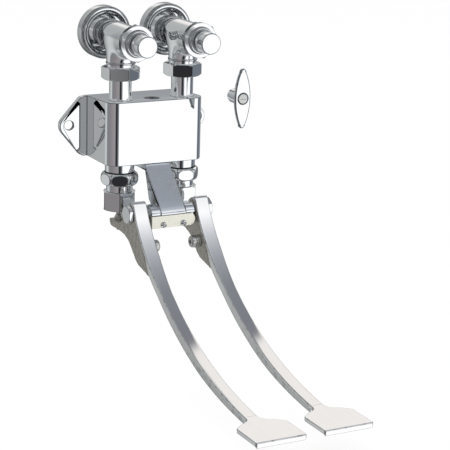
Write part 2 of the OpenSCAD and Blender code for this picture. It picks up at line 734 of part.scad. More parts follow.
module rocker_outline() {
  front = [for (t = span(rocker_start, rocker_stop)) under_face(t, lookup(t, pedal_depths) + 0.03)];
  top = rear_arm_top;
  low = rear_arm_low;
  polygon(concat(front, [[pivot_depth + 26.5, -47 - pivot_drop], [pivot_depth + 17, -45 - pivot_drop],
    [pivot_depth + 10.5, -40.5 - pivot_drop], [pivot_depth + 4.5, -34 - pivot_drop],
    [pivot_depth - 4, -26.7 - pivot_drop], [pivot_depth - 13.5, low - 1.2], [pivot_depth - 24.5, low],
    [axis_depth - 4.5, low], [axis_depth - 7.2, low + 1.8], [axis_depth - 8.4, top - 1.4],
    [axis_depth - 7.8, top - 0.2], [axis_depth - 6.8, top], [axis_depth + 11, top],
    [axis_depth + 18, top + 2.6], [pivot_depth - 17, -8 - pivot_drop], [pivot_depth - 11.5, -4 - pivot_drop]],
    [for (a = [190:-12:94]) [pivot_depth + 10.5 * cos(a), 10.5 * sin(a) - pivot_drop]]));
}
module tongue_outline(spare) {
  polygon(concat([for (t = span(tongue_start, tongue_stop)) under_face(t, lookup(t, pedal_depths) - 1)],
    [for (t = reversed(span(tongue_start, tongue_stop))) under_face(t, lookup(t, tongue_depths) + spare)]));
}
// A pedal seen from the front: its full width at the top, narrower below the rocker
module front_outline(middle, spare) {
  wide = pedal_w / 2 - spare;
  slim = wide - pedal_taper / 2;
  foot = neck_w / 2 - spare;
  top = -pivot_drop;
  translate([middle, 0, 0]) rotate([90, 0, 0]) linear_extrude(2 * pivot_depth + 400) polygon([[-wide, top + 30],
    [-wide, top - 33], [-slim, top - 59], [-slim, top - 94], [-foot, top - 113], [-foot, top - 140],
    [foot, top - 140], [foot, top - 113], [slim, top - 94], [slim, top - 59], [wide, top - 33], [wide, top + 30]]);
}
module rocker(side) {
  middle = side * half_spacing;
  color(nickel) difference() {
    intersection() {
      slab(middle, pedal_w - 0.4) rocker_outline();
      front_outline(middle, 0.2);
    }
    slab(middle, tongue_t + 2 * fit) tongue_outline(0.4);
    across([pivot_depth, -pivot_drop]) rod(pin_d + 2 * run, middle - pedal_w, middle + pedal_w);
    across(bolt_at) rod(bolt_d + 2 * fit, middle - pedal_w, middle + pedal_w);
    across(dowel_at) rod(dowel_d, middle - pedal_w, middle + pedal_w);
    at_valve(side) rod(adjuster_d + 2 * fit, rear_arm_low - 3, rear_arm_top + 1);
  }
}
module pad_outline() {
  n = neck_w / 2;
  half = pad_w / 2;
  polygon(concat([[-n, -1], [n, -1]], [for (a = [0:15:75]) [n + 13 * (1 - cos(a)), 6 + 13 * sin(a) * 0.8]],
    [[half - 3.2, 20.5], [half - 1, 22.4], [half, 24.5], [half, pad_len - 0.8], [half - 0.8, pad_len],
    [0.8 - half, pad_len], [-half, pad_len - 0.8], [-half, 24.5], [1 - half, 22.4], [3.2 - half, 20.5]],
    [for (a = [75:-15:0]) [-n - 13 * (1 - cos(a)), 6 + 13 * sin(a) * 0.8]]));
}
module pedal(side) {
  middle = side * half_spacing;
  color(chrome) difference() {
    union() {
      intersection() {
        slab(middle, pedal_w) polygon(concat(reversed(nose(nose_r)), [for (t = span(0, 1)) bezier(pedal_line, t)],
          [for (t = reversed(span(0, 1))) under_face(t, lookup(t, pedal_depths))], nose(nose_r - plate_t)));
        front_outline(middle, 0);
      }
      slab(middle, tongue_t) tongue_outline(0);
      translate([middle, -neck_at[0] + 4, neck_at[1] - pad_t - 0.15]) rotate([180, 0, 0]) mirror([0, 0, 1])
        linear_extrude(pad_t) pad_outline();
      translate([middle - pad_w / 2 + 0.8, -neck_at[0] + 4 - pad_len, neck_at[1] - pad_lip - 0.15])
        cube([pad_w - 1.6, 2.6, pad_lip]);
    }
    across(bolt_at) rod(bolt_d + 2 * fit, middle - pedal_w, middle + pedal_w);
    across(dowel_at) rod(dowel_d, middle - pedal_w, middle + pedal_w);
  }
}
// Bolt from the inner side, with its head over two washers; it ends flush with the outer cheek
module pedal_bolt(side) {
  inner = half_spacing - pedal_w / 2 + 0.2;
  outer = half_spacing + pedal_w / 2 - 0.8;
  stack = 4.2;
  mirror([side < 0 ? 1 : 0, 0, 0]) color(steel) across(bolt_at) difference() {
    union() {
      rod(bolt_d, inner - stack, outer);
      lathe([[0, inner - stack - 4.8], [4.2, inner - stack - 4.8], [5.6, inner - stack - 3.6],
        [5.9, inner - stack - 1], [5.9, inner - stack], [0, inner - stack]]);
    }
    hexagon(4, inner - stack - 6, inner - stack - 2, 0);
  }
}
module bolt_washers(side) {
  inner = half_spacing - pedal_w / 2 + 0.2;
  mirror([side < 0 ? 1 : 0, 0, 0]) color(steel) across(bolt_at) {
    tube(12.6, bolt_d + 2 * fit, inner - 2, inner);
    tube(12.6, bolt_d + 2 * fit, inner - 4.2, inner - 2.05);
  }
}
module dowel(side) {
  middle = side * half_spacing;
  color(steel) across(dowel_at) rod(dowel_d - 0.06, middle - pedal_w / 2 + 0.7, middle + pedal_w / 2 - 0.7);
}
module adjusting_screw(side) {
  top = push_bottom - gap;
  color(steel) at_valve(side) difference() {
    union() {
      rod(adjuster_d, rear_arm_low - 3.2, top - 1);
      lathe([[0, rear_arm_top + lock_nut_h], [adjuster_head_d / 2, rear_arm_top + lock_nut_h],
        [adjuster_head_d / 2, top - 1.2], [adjuster_head_d / 2 - 1.2, top - 0.2], [1, top], [0, top]]);
    }
    translate([-adjuster_d, -0.4, rear_arm_low - 4]) cube([2 * adjuster_d, 0.8, 1.8]);
  }
}
module lock_nut(side) {
  color(steel) at_valve(side) difference() {
    hexagon(adjuster_d + 4, rear_arm_top, rear_arm_top + lock_nut_h - 0.05, 10);
    rod(adjuster_d + 2 * fit, rear_arm_top - 1, rear_arm_top + lock_nut_h + 1);
  }
}

// The loose key, taken off its stem, with the child's +Z pointing away from the wall
module at_key() {
  translate([key_side, 0, key_up]) rotate([90, 0, 0]) children();
}
module key_grip() {
  end_r = 2.6;
  rise = key_h / 2 - end_r;
  swell = (rise * rise + pow(key_w / 2 - end_r, 2)) / (key_w - 2 * end_r);
  color(chrome) at_key() translate([0, 0, key_face - key_t]) difference() {
    linear_extrude(key_t) union() {
      intersection() {
        translate([key_w / 2 - swell - end_r, 0]) circle(r = swell + end_r, $fn = 180);
        translate([swell + end_r - key_w / 2, 0]) circle(r = swell + end_r, $fn = 180);
        square([key_w, 2 * rise], center = true);
      }
      for (way = [-1, 1]) translate([0, way * rise]) circle(r = end_r);
    }
    rod(key_hub_d - 3.8, -1, key_t + 1);
  }
}
module key_hub() {
  back = key_face - key_t - key_hub_len;
  color(chrome) at_key() difference() {
    union() {
      lathe([[0, back], [key_hub_d / 2 - 0.8, back], [key_hub_d / 2, back + 0.9],
        [key_hub_d / 2, key_face - key_t], [0, key_face - key_t]]);
      rod(key_hub_d - 4, key_face - key_t, key_face - 0.8);
    }
    translate([-stem_square / 2 - 0.3, -stem_square / 2 - 0.3, back - 1])
      cube([stem_square + 0.6, stem_square + 0.6, 11]);
    rod(4 + 2 * fit, key_face - 7, key_face);
  }
}
module key_screw() {
  color(steel) at_key() difference() {
    union() {
      rod(4, key_face - 6, key_face - 0.4);
      lathe([[0, key_face - 0.8], [key_hub_d / 2 - 1.9, key_face - 0.8], [key_hub_d / 2 - 2.2, key_face + 0.4],
        [0, key_face + 0.9]]);
    }
    translate([-key_hub_d, -0.6, key_face - 0.2]) cube([2 * key_hub_d, 1.2, 2]);
  }
}

box_casting();
hinge_arm();
arm_screws();
keeper_plate();
keeper_screws();
hinge_pin();
pin_nut();
thrust_washers();
supply_tube(-1);  // supply_tube_left
supply_tube(1);  // supply_tube_right
coupling_nut(-1);  // coupling_nut_left
coupling_nut(1);  // coupling_nut_right
coupling_washers();
stop_body(-1);  // stop_body_left
stop_body(1);  // stop_body_right
wall_flange(-1);  // wall_flange_left
wall_flange(1);  // wall_flange_right
stop_bonnet(-1);  // stop_bonnet_left
stop_bonnet(1);  // stop_bonnet_right
stem_packings();
packing_nuts();
valve_barrel(-1);  // valve_barrel_left
valve_barrel(1);  // valve_barrel_right
bead_nut(-1);  // bead_nut_left
bead_nut(1);  // bead_nut_right
valve_body(-1);  // valve_body_left
valve_body(1);  // valve_body_right
valve_seats();
valve_seals();
stop_stem(-1);  // stop_stem_left
stop_stem(1);  // stop_stem_right
stop_disc(-1);  // stop_disc_left
stop_disc(1);  // stop_disc_right
stop_cap(-1);  // stop_cap_left
stop_cap(1);  // stop_cap_right
push_stem(-1);  // push_stem_left
push_stem(1);  // push_stem_right
valve_disc(-1);  // valve_disc_left
valve_disc(1);  // valve_disc_right
return_spring(-1);  // return_spring_left
return_spring(1);  // return_spring_right
rocker(-1);  // rocker_left
rocker(1);  // rocker_right
pedal(-1);  // pedal_left
pedal(1);  // pedal_right
pedal_bolt(-1);  // pedal_bolt_left
pedal_bolt(1);  // pedal_bolt_right
bolt_washers(-1);  // bolt_washers_left
bolt_washers(1);  // bolt_washers_right
dowel(-1);  // dowel_left
dowel(1);  // dowel_right
adjusting_screw(-1);  // adjusting_screw_left
adjusting_screw(1);  // adjusting_screw_right
lock_nut(-1);  // lock_nut_left
lock_nut(1);  // lock_nut_right
key_grip();
key_hub();
key_screw();
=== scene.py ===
import json
import math
import bmesh
import bpy
import numpy as np
from mathutils import Matrix, Vector

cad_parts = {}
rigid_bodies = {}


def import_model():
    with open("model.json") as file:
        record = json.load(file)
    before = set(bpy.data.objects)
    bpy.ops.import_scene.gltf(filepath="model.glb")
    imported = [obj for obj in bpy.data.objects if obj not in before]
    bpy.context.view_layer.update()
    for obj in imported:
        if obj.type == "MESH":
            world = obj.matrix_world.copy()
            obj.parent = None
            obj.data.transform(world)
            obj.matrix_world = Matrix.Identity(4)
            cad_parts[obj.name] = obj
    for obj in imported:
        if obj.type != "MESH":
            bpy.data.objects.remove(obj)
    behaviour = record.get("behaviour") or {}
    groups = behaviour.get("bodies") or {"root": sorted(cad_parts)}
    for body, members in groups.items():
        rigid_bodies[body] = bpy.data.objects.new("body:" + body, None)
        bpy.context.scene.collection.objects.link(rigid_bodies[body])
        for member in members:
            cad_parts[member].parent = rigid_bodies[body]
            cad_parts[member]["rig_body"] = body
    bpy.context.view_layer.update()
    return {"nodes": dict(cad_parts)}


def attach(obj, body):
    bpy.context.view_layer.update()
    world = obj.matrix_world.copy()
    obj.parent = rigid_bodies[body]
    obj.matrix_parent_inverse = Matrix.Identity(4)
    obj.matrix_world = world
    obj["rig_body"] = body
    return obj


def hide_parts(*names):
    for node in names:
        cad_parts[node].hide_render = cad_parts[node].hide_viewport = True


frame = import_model()
nodes = frame["nodes"]
print("stage: frame loaded,", len(nodes), "nodes")


def newObject(name, data):
    made = bpy.data.objects.new(name, data)
    bpy.context.scene.collection.objects.link(made)
    return made


def meshFrom(bm, name):
    mesh = bpy.data.meshes.new(name)
    bm.to_mesh(mesh)
    bm.free()
    return mesh


# Fitted to the photograph: angles in degrees, lens and sensor in millimetres, places in metres
camera = {"azimuth": -28.13, "elevation": 15.26, "roll": 1.58, "lens": 134.0, "sensor": 36, "far": 20,
          "place": (-0.6783, -1.4707, 0.3364)}


def makeCamera(c):
    a, e, r = (math.radians(c[k]) for k in ("azimuth", "elevation", "roll"))
    back = Vector((math.sin(a) * math.cos(e), -math.cos(a) * math.cos(e), math.sin(e)))
    right = Vector((math.cos(a), math.sin(a), 0))
    up = back.cross(right)
    rightTurned = right * math.cos(r) + up * math.sin(r)
    upTurned = up * math.cos(r) - right * math.sin(r)
    data = bpy.data.cameras.new("camera")
    data.lens = c["lens"]
    data.sensor_width = c["sensor"]
    data.clip_end = c["far"]
    cam = newObject("camera", data)
    turn = Matrix((rightTurned, upTurned, back)).transposed().to_4x4()
    cam.matrix_world = Matrix.Translation(c["place"]) @ turn
    bpy.context.scene.camera = cam


makeCamera(camera)


# Small helpers for node trees
def addNode(tree, kind, links=None, **settings):
    n = tree.nodes.new(kind)
    for key, value in settings.items():
        setattr(n, key, value)
    for key, value in (links or {}).items():
        socket = n.inputs[key]
        if isinstance(value, bpy.types.NodeSocket):
            tree.links.new(value, socket)
        else:
            socket.default_value = value
    return n


def maths(tree, operation, a, b=0.0, clamp=False):
    return addNode(tree, "ShaderNodeMath", {0: a, 1: b}, operation=operation, use_clamp=clamp).outputs[0]


def blendColour(tree, share, a, b):
    return addNode(tree, "ShaderNodeMix", {0: share, 6: a, 7: b}, data_type="RGBA").outputs[2]


def easeBetween(tree, value, low, high):
    n = addNode(tree, "ShaderNodeMapRange", {0: value, 1: low, 2: high}, interpolation_type="SMOOTHSTEP")
    return n.outputs[0]


def ramp(tree, factor, stops):
    n = addNode(tree, "ShaderNodeValToRGB", {0: factor})
    elements = n.color_ramp.elements
    while len(elements) < len(stops):
        elements.new(0.5)
    for element, (place, colour) in zip(elements, stops):
        element.position = place
        element.color = (*colour, 1)
    return n.outputs[0]


studio = {
    "backdrop": 1.0, "fill": 0.82,
    # the floor's own white is mixed in by floorGlow, for the camera only
    "floorLevel": -0.226, "floorHalf": 9.0, "floorColour": (0.90, 0.90, 0.90), "floorGlow": 0.80,
    "floorWhite": 1.04,
    "shell": 6.0,
    # where the ramps below give way to each other, by the direction's x and z
    "leanFrom": 0.0, "leanTo": 0.25, "riseFrom": -0.06, "riseTo": 0.16, "fallFrom": -0.62, "fallTo": -0.88,
    "below": (0.55, 0.56, 0.57),
    # what is seen by way of two mirrors or more is calmer, as in a room with pale walls
    "calm": (0.62, 0.64, 0.64), "calmShare": 0.6, "calmAfter": 1.5,
    # name, place, size in metres and power in watts, all turned to the same point
    "lamps": (("softLeft", (-1.2, -1.5, 2.4), 2.2, 26.0), ("softRight", (1.8, -1.0, 2.0), 2.0, 12.0)),
    "lampsAim": (0, -0.1, 0),
    # light on the shell by its angle over the object, from the front horizon to the back one, in degrees
    "over": [
        (-180, (0.40, 0.41, 0.42)), (14, (0.95, 0.97, 1.0)), (24, (0.95, 0.97, 1.0)), (27, (0.50, 0.53, 0.56)),
        (34, (1.06, 1.08, 1.10)), (46, (1.20, 1.20, 1.22)), (60, (0.68, 0.71, 0.75)), (67, (0.50, 0.53, 0.57)),
        (73, (0.38, 0.40, 0.44)), (85, (0.26, 0.28, 0.31)), (108, (0.23, 0.24, 0.27)),
        (112, (1.02, 0.99, 0.96)), (160, (1.02, 0.99, 0.96)), (165, (0.42, 0.44, 0.46)),
        (173, (0.40, 0.42, 0.44)), (180, (0.16, 0.17, 0.18))],
    # the same for what leans to the left, where the bodies of the stops look
    "overLeft": [
        (-180, (0.40, 0.41, 0.42)), (11, (1.0, 1.02, 1.04)), (15, (0.10, 0.11, 0.12)), (40, (0.08, 0.09, 0.10)),
        (45, (0.95, 0.97, 1.0)), (64, (0.55, 0.58, 0.61)), (84, (0.30, 0.32, 0.34)), (104, (0.30, 0.31, 0.33)),
        (118, (0.52, 0.53, 0.52)), (132, (0.36, 0.37, 0.37)), (148, (0.56, 0.58, 0.57)),
        (163, (0.40, 0.41, 0.42)), (172, (0.34, 0.36, 0.38)), (180, (0.14, 0.15, 0.16))],
    # light round the object near the horizon, by heading from the right hand side
    "round": [
        (0, (0.16, 0.18, 0.21)), (12, (0.22, 0.24, 0.28)), (32, (0.36, 0.38, 0.40)), (48, (0.10, 0.11, 0.12)),
        (80, (0.10, 0.11, 0.11)), (98, (0.26, 0.27, 0.27)), (128, (0.62, 0.64, 0.64)),
        (142, (0.72, 0.74, 0.74)), (158, (0.24, 0.25, 0.26)), (190, (0.28, 0.26, 0.27)),
        (226, (0.36, 0.33, 0.34)), (236, (0.34, 0.34, 0.35)), (241, (0.03, 0.03, 0.03)),
        (254, (0.03, 0.03, 0.035)), (258, (0.20, 0.21, 0.22)), (266, (0.22, 0.23, 0.24)),
        (270, (1.25, 1.27, 1.28)), (334, (1.22, 1.24, 1.26)), (343, (0.12, 0.14, 0.17)),
        (360, (0.16, 0.18, 0.21))],
}


def emptyMaterial(name):
    m = bpy.data.materials.new(name)
    m.use_nodes = True
    m.node_tree.nodes.clear()
    return m, m.node_tree


def makeStudio(s):
    world = bpy.data.worlds.new("studio")
    bpy.context.scene.world = world
    world.use_nodes = True
    tree = world.node_tree
    path = addNode(tree, "ShaderNodeLightPath")
    shown = maths(tree, "MAXIMUM", path.outputs["Is Camera Ray"], path.outputs["Is Glossy Ray"])
    shown = maths(tree, "MAXIMUM", shown, path.outputs["Is Transmission Ray"])
    level = addNode(tree, "ShaderNodeMix", {0: shown, 2: s["fill"], 3: s["backdrop"]})
    tree.links.new(level.outputs[0], tree.nodes["Background"].inputs["Strength"])
    tree.nodes["Background"].inputs["Color"].default_value = (1, 1, 1, 1)

    # Floor: pale, and it keeps the object's soft shadow
    floor = bpy.data.meshes.new("floor")
    w = s["floorHalf"]
    floor.from_pydata([(-w, -w, 0), (w, -w, 0), (w, w, 0), (-w, w, 0)], [], [(0, 1, 2, 3)])
    floor.transform(Matrix.Translation((0, 0, s["floorLevel"])))
    floorObject = newObject("floor", floor)
    m, tree = emptyMaterial("pale floor")
    path = addNode(tree, "ShaderNodeLightPath")
    matt = addNode(tree, "ShaderNodeBsdfDiffuse", {"Color": (*s["floorColour"], 1)})
    glow = addNode(tree, "ShaderNodeEmission", {"Color": (1, 1, 1, 1), "Strength": s["floorWhite"]})
    share = maths(tree, "MULTIPLY", path.outputs["Is Camera Ray"], s["floorGlow"])
    mix = addNode(tree, "ShaderNodeMixShader", {0: share, 1: matt.outputs[0], 2: glow.outputs[0]})
    addNode(tree, "ShaderNodeOutputMaterial", {"Surface": mix.outputs[0]})
    floor.materials.append(m)
    floorObject.visible_glossy = False

    # Shell of reflector cards: only polished metal sees it
    bm = bmesh.new()
    bmesh.ops.create_icosphere(bm, subdivisions=4, radius=s["shell"])
    shell = meshFrom(bm, "cards")
    shellObject = newObject("cards", shell)
    m, tree = emptyMaterial("reflector cards")
    place = addNode(tree, "ShaderNodeTexCoord").outputs["Object"]
    way = addNode(tree, "ShaderNodeVectorMath", {0: place}, operation="NORMALIZE").outputs[0]
    xyz = addNode(tree, "ShaderNodeSeparateXYZ", {0: way})
    x, y, z = xyz.outputs[0], xyz.outputs[1], xyz.outputs[2]
    over = maths(tree, "ARCTAN2", z, maths(tree, "MULTIPLY", y, -1.0))
    over = maths(tree, "ADD", maths(tree, "DIVIDE", over, 2 * math.pi), 0.5)
    heading = maths(tree, "DIVIDE", maths(tree, "ARCTAN2", y, x), 2 * math.pi)
    heading = maths(tree, "FRACT", maths(tree, "ADD", heading, 1.0))
    right = ramp(tree, over, [(a / 360 + 0.5, c) for a, c in s["over"]])
    left = ramp(tree, over, [(a / 360 + 0.5, c) for a, c in s["overLeft"]])
    high = blendColour(tree, easeBetween(tree, x, s["leanFrom"], s["leanTo"]), left, right)
    low = ramp(tree, heading, [(a / 360, c) for a, c in s["round"]])
    sides = blendColour(tree, easeBetween(tree, z, s["riseFrom"], s["riseTo"]), low, high)
    colour = blendColour(tree, easeBetween(tree, z, s["fallFrom"], s["fallTo"]), sides, (*s["below"], 1))
    path = addNode(tree, "ShaderNodeLightPath")
    twice = maths(tree, "GREATER_THAN", path.outputs["Glossy Depth"], s["calmAfter"])
    colour = blendColour(tree, maths(tree, "MULTIPLY", twice, s["calmShare"]), colour, (*s["calm"], 1))
    glow = addNode(tree, "ShaderNodeEmission", {"Color": colour, "Strength": 1.0})
    addNode(tree, "ShaderNodeOutputMaterial", {"Surface": glow.outputs[0]})
    shell.materials.append(m)
    shellObject.visible_camera = False
    shellObject.visible_diffuse = False
    shellObject.visible_shadow = False
    shellObject.visible_transmission = False

    # Two large soft lamps give the floor its faint shadow
    for name, spot, size, power in s["lamps"]:
        lamp = bpy.data.lights.new(name, "AREA")
        lamp.shape = "SQUARE"
        lamp.size = size
        lamp.energy = power
        holder = newObject(name, lamp)
        holder.location = spot
        holder.rotation_euler = (Vector(s["lampsAim"]) - Vector(spot)).to_track_quat("-Z", "Y").to_euler()
        holder.visible_glossy = False
    bpy.context.scene.view_settings.view_transform = "Standard"


makeStudio(studio)
print("stage: camera, floor, cards and lamps")


def newGroup(name, inputs, outputs):
    g = bpy.data.node_groups.new(name, "ShaderNodeTree")
    for label, kind, value in inputs:
        socket = g.interface.new_socket(label, in_out="INPUT", socket_type="NodeSocket" + kind)
        socket.default_value = value
    for label, kind in outputs:
        g.interface.new_socket(label, in_out="OUTPUT", socket_type="NodeSocket" + kind)
    return g, g.nodes.new("NodeGroupInput"), g.nodes.new("NodeGroupOutput")


def noise(tree, place, scale, detail, **more):
    links = {"Vector": place, "Scale": scale, "Detail": detail, **more}
    return addNode(tree, "ShaderNodeTexNoise", links).outputs[0]


def makeGrainGroup():
    g, given, out = newGroup("polishing grain", [
        ("Scale", "Float", 600.0), ("Stretch", "Vector", (1, 1, 1)), ("Ripple", "Float", 40.0)],
        [("Tone", "Float"), ("Height", "Float")])
    place = addNode(g, "ShaderNodeTexCoord").outputs["Object"]
    drawn = addNode(g, "ShaderNodeVectorMath", {0: place, 1: given.outputs["Stretch"]}, operation="MULTIPLY")
    fine = noise(g, drawn.outputs[0], given.outputs["Scale"], 4.0, Roughness=0.62)
    wide = noise(g, place, given.outputs["Ripple"], 1.5)
    g.links.new(fine, out.inputs["Tone"])
    g.links.new(maths(g, "ADD", maths(g, "MULTIPLY", fine, 0.25), wide), out.inputs["Height"])
    return g


# Mask of the marked faces, broken up by noise unless Evenness is high: real wear on most finishes, painted shade on
# the edges and walls of the chrome ones
def makeWearAndShadeGroup():
    g, given, out = newGroup("edge wear and painted shade", [
        ("Breakup", "Float", 180.0), ("Evenness", "Float", 0.0)], [("Mask", "Float")])
    edge = addNode(g, "ShaderNodeAttribute", attribute_name="edge").outputs["Fac"]
    place = addNode(g, "ShaderNodeTexCoord").outputs["Object"]
    patch = noise(g, place, given.outputs["Breakup"], 3.0)
    broken = addNode(g, "ShaderNodeMapRange", {0: patch, 1: 0.42, 2: 0.62}).outputs[0]
    broken = maths(g, "MAXIMUM", broken, given.outputs["Evenness"])
    g.links.new(maths(g, "MULTIPLY", edge, broken, clamp=True), out.inputs["Mask"])
    return g


def makeDustGroup():
    g, given, out = newGroup("settled dust", [
        ("Amount", "Float", 0.2), ("Speck", "Float", 900.0)], [("Mask", "Float")])
    normal = addNode(g, "ShaderNodeNewGeometry").outputs["Normal"]
    up = addNode(g, "ShaderNodeSeparateXYZ", {0: normal}).outputs[2]
    place = addNode(g, "ShaderNodeTexCoord").outputs["Object"]
    cloud = noise(g, place, 35.0, 4.0)
    speck = noise(g, place, given.outputs["Speck"], 2.0)
    top = addNode(g, "ShaderNodeMapRange", {0: up, 1: 0.25, 2: 1.0}).outputs[0]
    patch = addNode(g, "ShaderNodeMapRange", {0: maths(g, "MULTIPLY", cloud, speck), 1: 0.22, 2: 0.42}).outputs[0]
    mask = maths(g, "MULTIPLY", maths(g, "MULTIPLY", top, patch), given.outputs["Amount"], clamp=True)
    g.links.new(mask, out.inputs["Mask"])
    return g


grainGroup = makeGrainGroup()
wearAndShadeGroup = makeWearAndShadeGroup()
dustGroup = makeDustGroup()

# What most finishes share; each one below says the rest
usualFinish = {"metal": 1.0, "stretch": (1, 1, 1), "evenness": 0.0}
finishes = {
    # On the three chromes the edge colour is near black and is painted shade on the marked edges and walls; on the
    # other finishes it is lighter, real wear
    "polished chrome": {
        "light": (0.84, 0.85, 0.86), "dark": (0.80, 0.81, 0.82), "rough": (0.02, 0.045), "scale": 700.0,
        "ripple": 26.0, "bump": 1.6e-5, "wearAndShade": 0.85, "wornAndShaded": (0.05, 0.055, 0.06), "dust": 0.06,
        "evenness": 0.85},
    "brushed chrome": {
        "light": (0.87, 0.87, 0.87), "dark": (0.77, 0.77, 0.77), "rough": (0.06, 0.11), "scale": 900.0,
        "stretch": (1, 0.05, 0.05), "ripple": 26.0, "bump": 2.5e-5, "wearAndShade": 0.7, "wornAndShaded": (0.16, 0.16, 0.17),
        "dust": 0.05, "evenness": 0.5},
    "satin chrome": {
        "light": (0.80, 0.82, 0.85), "dark": (0.70, 0.72, 0.76), "rough": (0.11, 0.19), "scale": 1000.0,
        "stretch": (0.06, 1, 1), "ripple": 40.0, "bump": 4e-5, "wearAndShade": 0.6, "wornAndShaded": (0.14, 0.15, 0.17),
        "dust": 0.12, "evenness": 0.6},
    "cast nickel": {
        "light": (0.74, 0.71, 0.65), "dark": (0.26, 0.24, 0.21), "rough": (0.34, 0.58), "scale": 300.0,
        "ripple": 210.0, "bump": 1.6e-3, "wearAndShade": 0.5, "wornAndShaded": (0.74, 0.70, 0.64), "dust": 0.2},
    "cream zinc": {
        "light": (0.80, 0.79, 0.70), "dark": (0.66, 0.65, 0.56), "rough": (0.30, 0.42), "metal": 0.7,
        "scale": 800.0, "stretch": (0.08, 1, 1), "ripple": 60.0, "bump": 1.5e-4, "wearAndShade": 0.4,
        "wornAndShaded": (0.84, 0.83, 0.78), "dust": 0.15},
    "turned steel": {
        "light": (0.62, 0.62, 0.60), "dark": (0.42, 0.42, 0.41), "rough": (0.18, 0.32), "scale": 900.0,
        "ripple": 120.0, "bump": 2e-4, "wearAndShade": 0.4, "wornAndShaded": (0.80, 0.79, 0.76), "dust": 0.2},
    "turned brass": {
        "light": (0.83, 0.66, 0.36), "dark": (0.66, 0.48, 0.22), "rough": (0.18, 0.32), "scale": 900.0,
        "ripple": 120.0, "bump": 2e-4, "wearAndShade": 0.3, "wornAndShaded": (0.90, 0.76, 0.46), "dust": 0.1},
    "black rubber": {
        "light": (0.045, 0.045, 0.045), "dark": (0.02, 0.02, 0.02), "rough": (0.45, 0.65), "metal": 0.0,
        "scale": 700.0, "ripple": 150.0, "bump": 8e-4, "wearAndShade": 0.3, "wornAndShaded": (0.10, 0.10, 0.10), "dust": 0.4},
}
dustColour, dustRoughness = (0.62, 0.60, 0.57), 0.35


def makeFinish(name, special):
    f = {**usualFinish, **special}
    m = bpy.data.materials.new(name)
    m.use_nodes = True
    tree = m.node_tree
    shader = tree.nodes["Principled BSDF"]
    grain = addNode(tree, "ShaderNodeGroup", node_tree=grainGroup)
    grain.inputs["Scale"].default_value = f["scale"]
    grain.inputs["Stretch"].default_value = f["stretch"]
    grain.inputs["Ripple"].default_value = f["ripple"]
    wearAndShade = addNode(tree, "ShaderNodeGroup", node_tree=wearAndShadeGroup)
    wearAndShade.inputs["Evenness"].default_value = f["evenness"]
    dust = addNode(tree, "ShaderNodeGroup", node_tree=dustGroup)
    dust.inputs["Amount"].default_value = f["dust"]
    tone = blendColour(tree, grain.outputs["Tone"], (*f["dark"], 1), (*f["light"], 1))
    # Marked faces take the edge colour: painted shade on the chrome finishes, real wear on the others
    wornAndShaded = maths(tree, "MULTIPLY", wearAndShade.outputs["Mask"], f["wearAndShade"])
    tone = blendColour(tree, wornAndShaded, tone, (*f["wornAndShaded"], 1))
    tone = blendColour(tree, dust.outputs["Mask"], tone, (*dustColour, 1))
    tree.links.new(tone, shader.inputs["Base Color"])
    smoothest, roughest = f["rough"]
    links = {0: grain.outputs["Tone"], 1: 0.3, 2: 0.7, 3: smoothest, 4: roughest}
    rough = addNode(tree, "ShaderNodeMapRange", links).outputs[0]
    rough = maths(tree, "ADD", rough, maths(tree, "MULTIPLY", dust.outputs["Mask"], dustRoughness))
    tree.links.new(rough, shader.inputs["Roughness"])
    shader.inputs["Metallic"].default_value = f["metal"]
    height = grain.outputs["Height"]
    bump = addNode(tree, "ShaderNodeBump", {"Strength": 1.0, "Distance": f["bump"], "Height": height})
    tree.links.new(bump.outputs[0], shader.inputs["Normal"])
    return m


finish = {name: makeFinish(name, special) for name, special in finishes.items()}
print("stage:", len(finish), "finishes")


def smoothMesh(mesh, angle=32):
    mesh.shade_smooth()
    mesh.set_sharp_from_angle(angle=math.radians(angle))


def finishPiece(nodeName, mesh, finishName):
    piece = newObject(nodeName + ".piece", mesh)
    mesh.materials.clear()
    mesh.materials.append(finish[finishName])
    body = nodes[nodeName]["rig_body"]
    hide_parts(nodeName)
    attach(piece, body)


# Runs modifiers on a mesh, each given as (kind, settings), and returns the result
def modified(mesh, steps):
    holder = newObject("holder", mesh)
    for kind, settings in steps:
        step = holder.modifiers.new(kind, kind)
        for key, value in settings.items():
            setattr(step, key, value)
    shaped = bpy.data.meshes.new_from_object(holder.evaluated_get(bpy.context.evaluated_depsgraph_get()))
    bpy.data.objects.remove(holder)
    return shaped


# Lets a mesh's large faces decide how it shades
def shadedByFaces(mesh):
    return modified(mesh, [("WEIGHTED_NORMAL", {"mode": "FACE_AREA", "weight": 60, "keep_sharp": True})])


# Rounds a mesh's edges and marks the rounded faces
def rounded(mesh, width, segments=3, angle=28):
    if width:
        mesh.materials.clear()
        mesh.materials.append(None)
        mesh.materials.append(None)
        mesh = modified(mesh, [("BEVEL", {
            "width": width, "segments": segments, "limit_method": "ANGLE", "material": 1,
            "angle_limit": math.radians(angle), "use_clamp_overlap": False})])
        onEdge = np.zeros(len(mesh.polygons), np.int32)
        mesh.polygons.foreach_get("material_index", onEdge)
        mark = mesh.attributes.get("edge") or mesh.attributes.new("edge", "FLOAT", "FACE")
        mark.data.foreach_set("value", onEdge.astype(np.float32))
        mesh.polygons.foreach_set("material_index", np.zeros(len(onEdge), np.int32))
    smoothMesh(mesh)
    return shadedByFaces(mesh)


# The hollow of each ear, in metres from the box's middle and from the wall; its floor rises towards the box
earHollow = {"from": 0.055, "to": 0.0741, "depth": 0.0028, "near": 0.0001, "rise": 9.0}
# Points of a CAD mesh closer than this are one, in metres, and faces flatter than this are one, in degrees
mergeWithin, flatWithin = 2e-6, 0.8


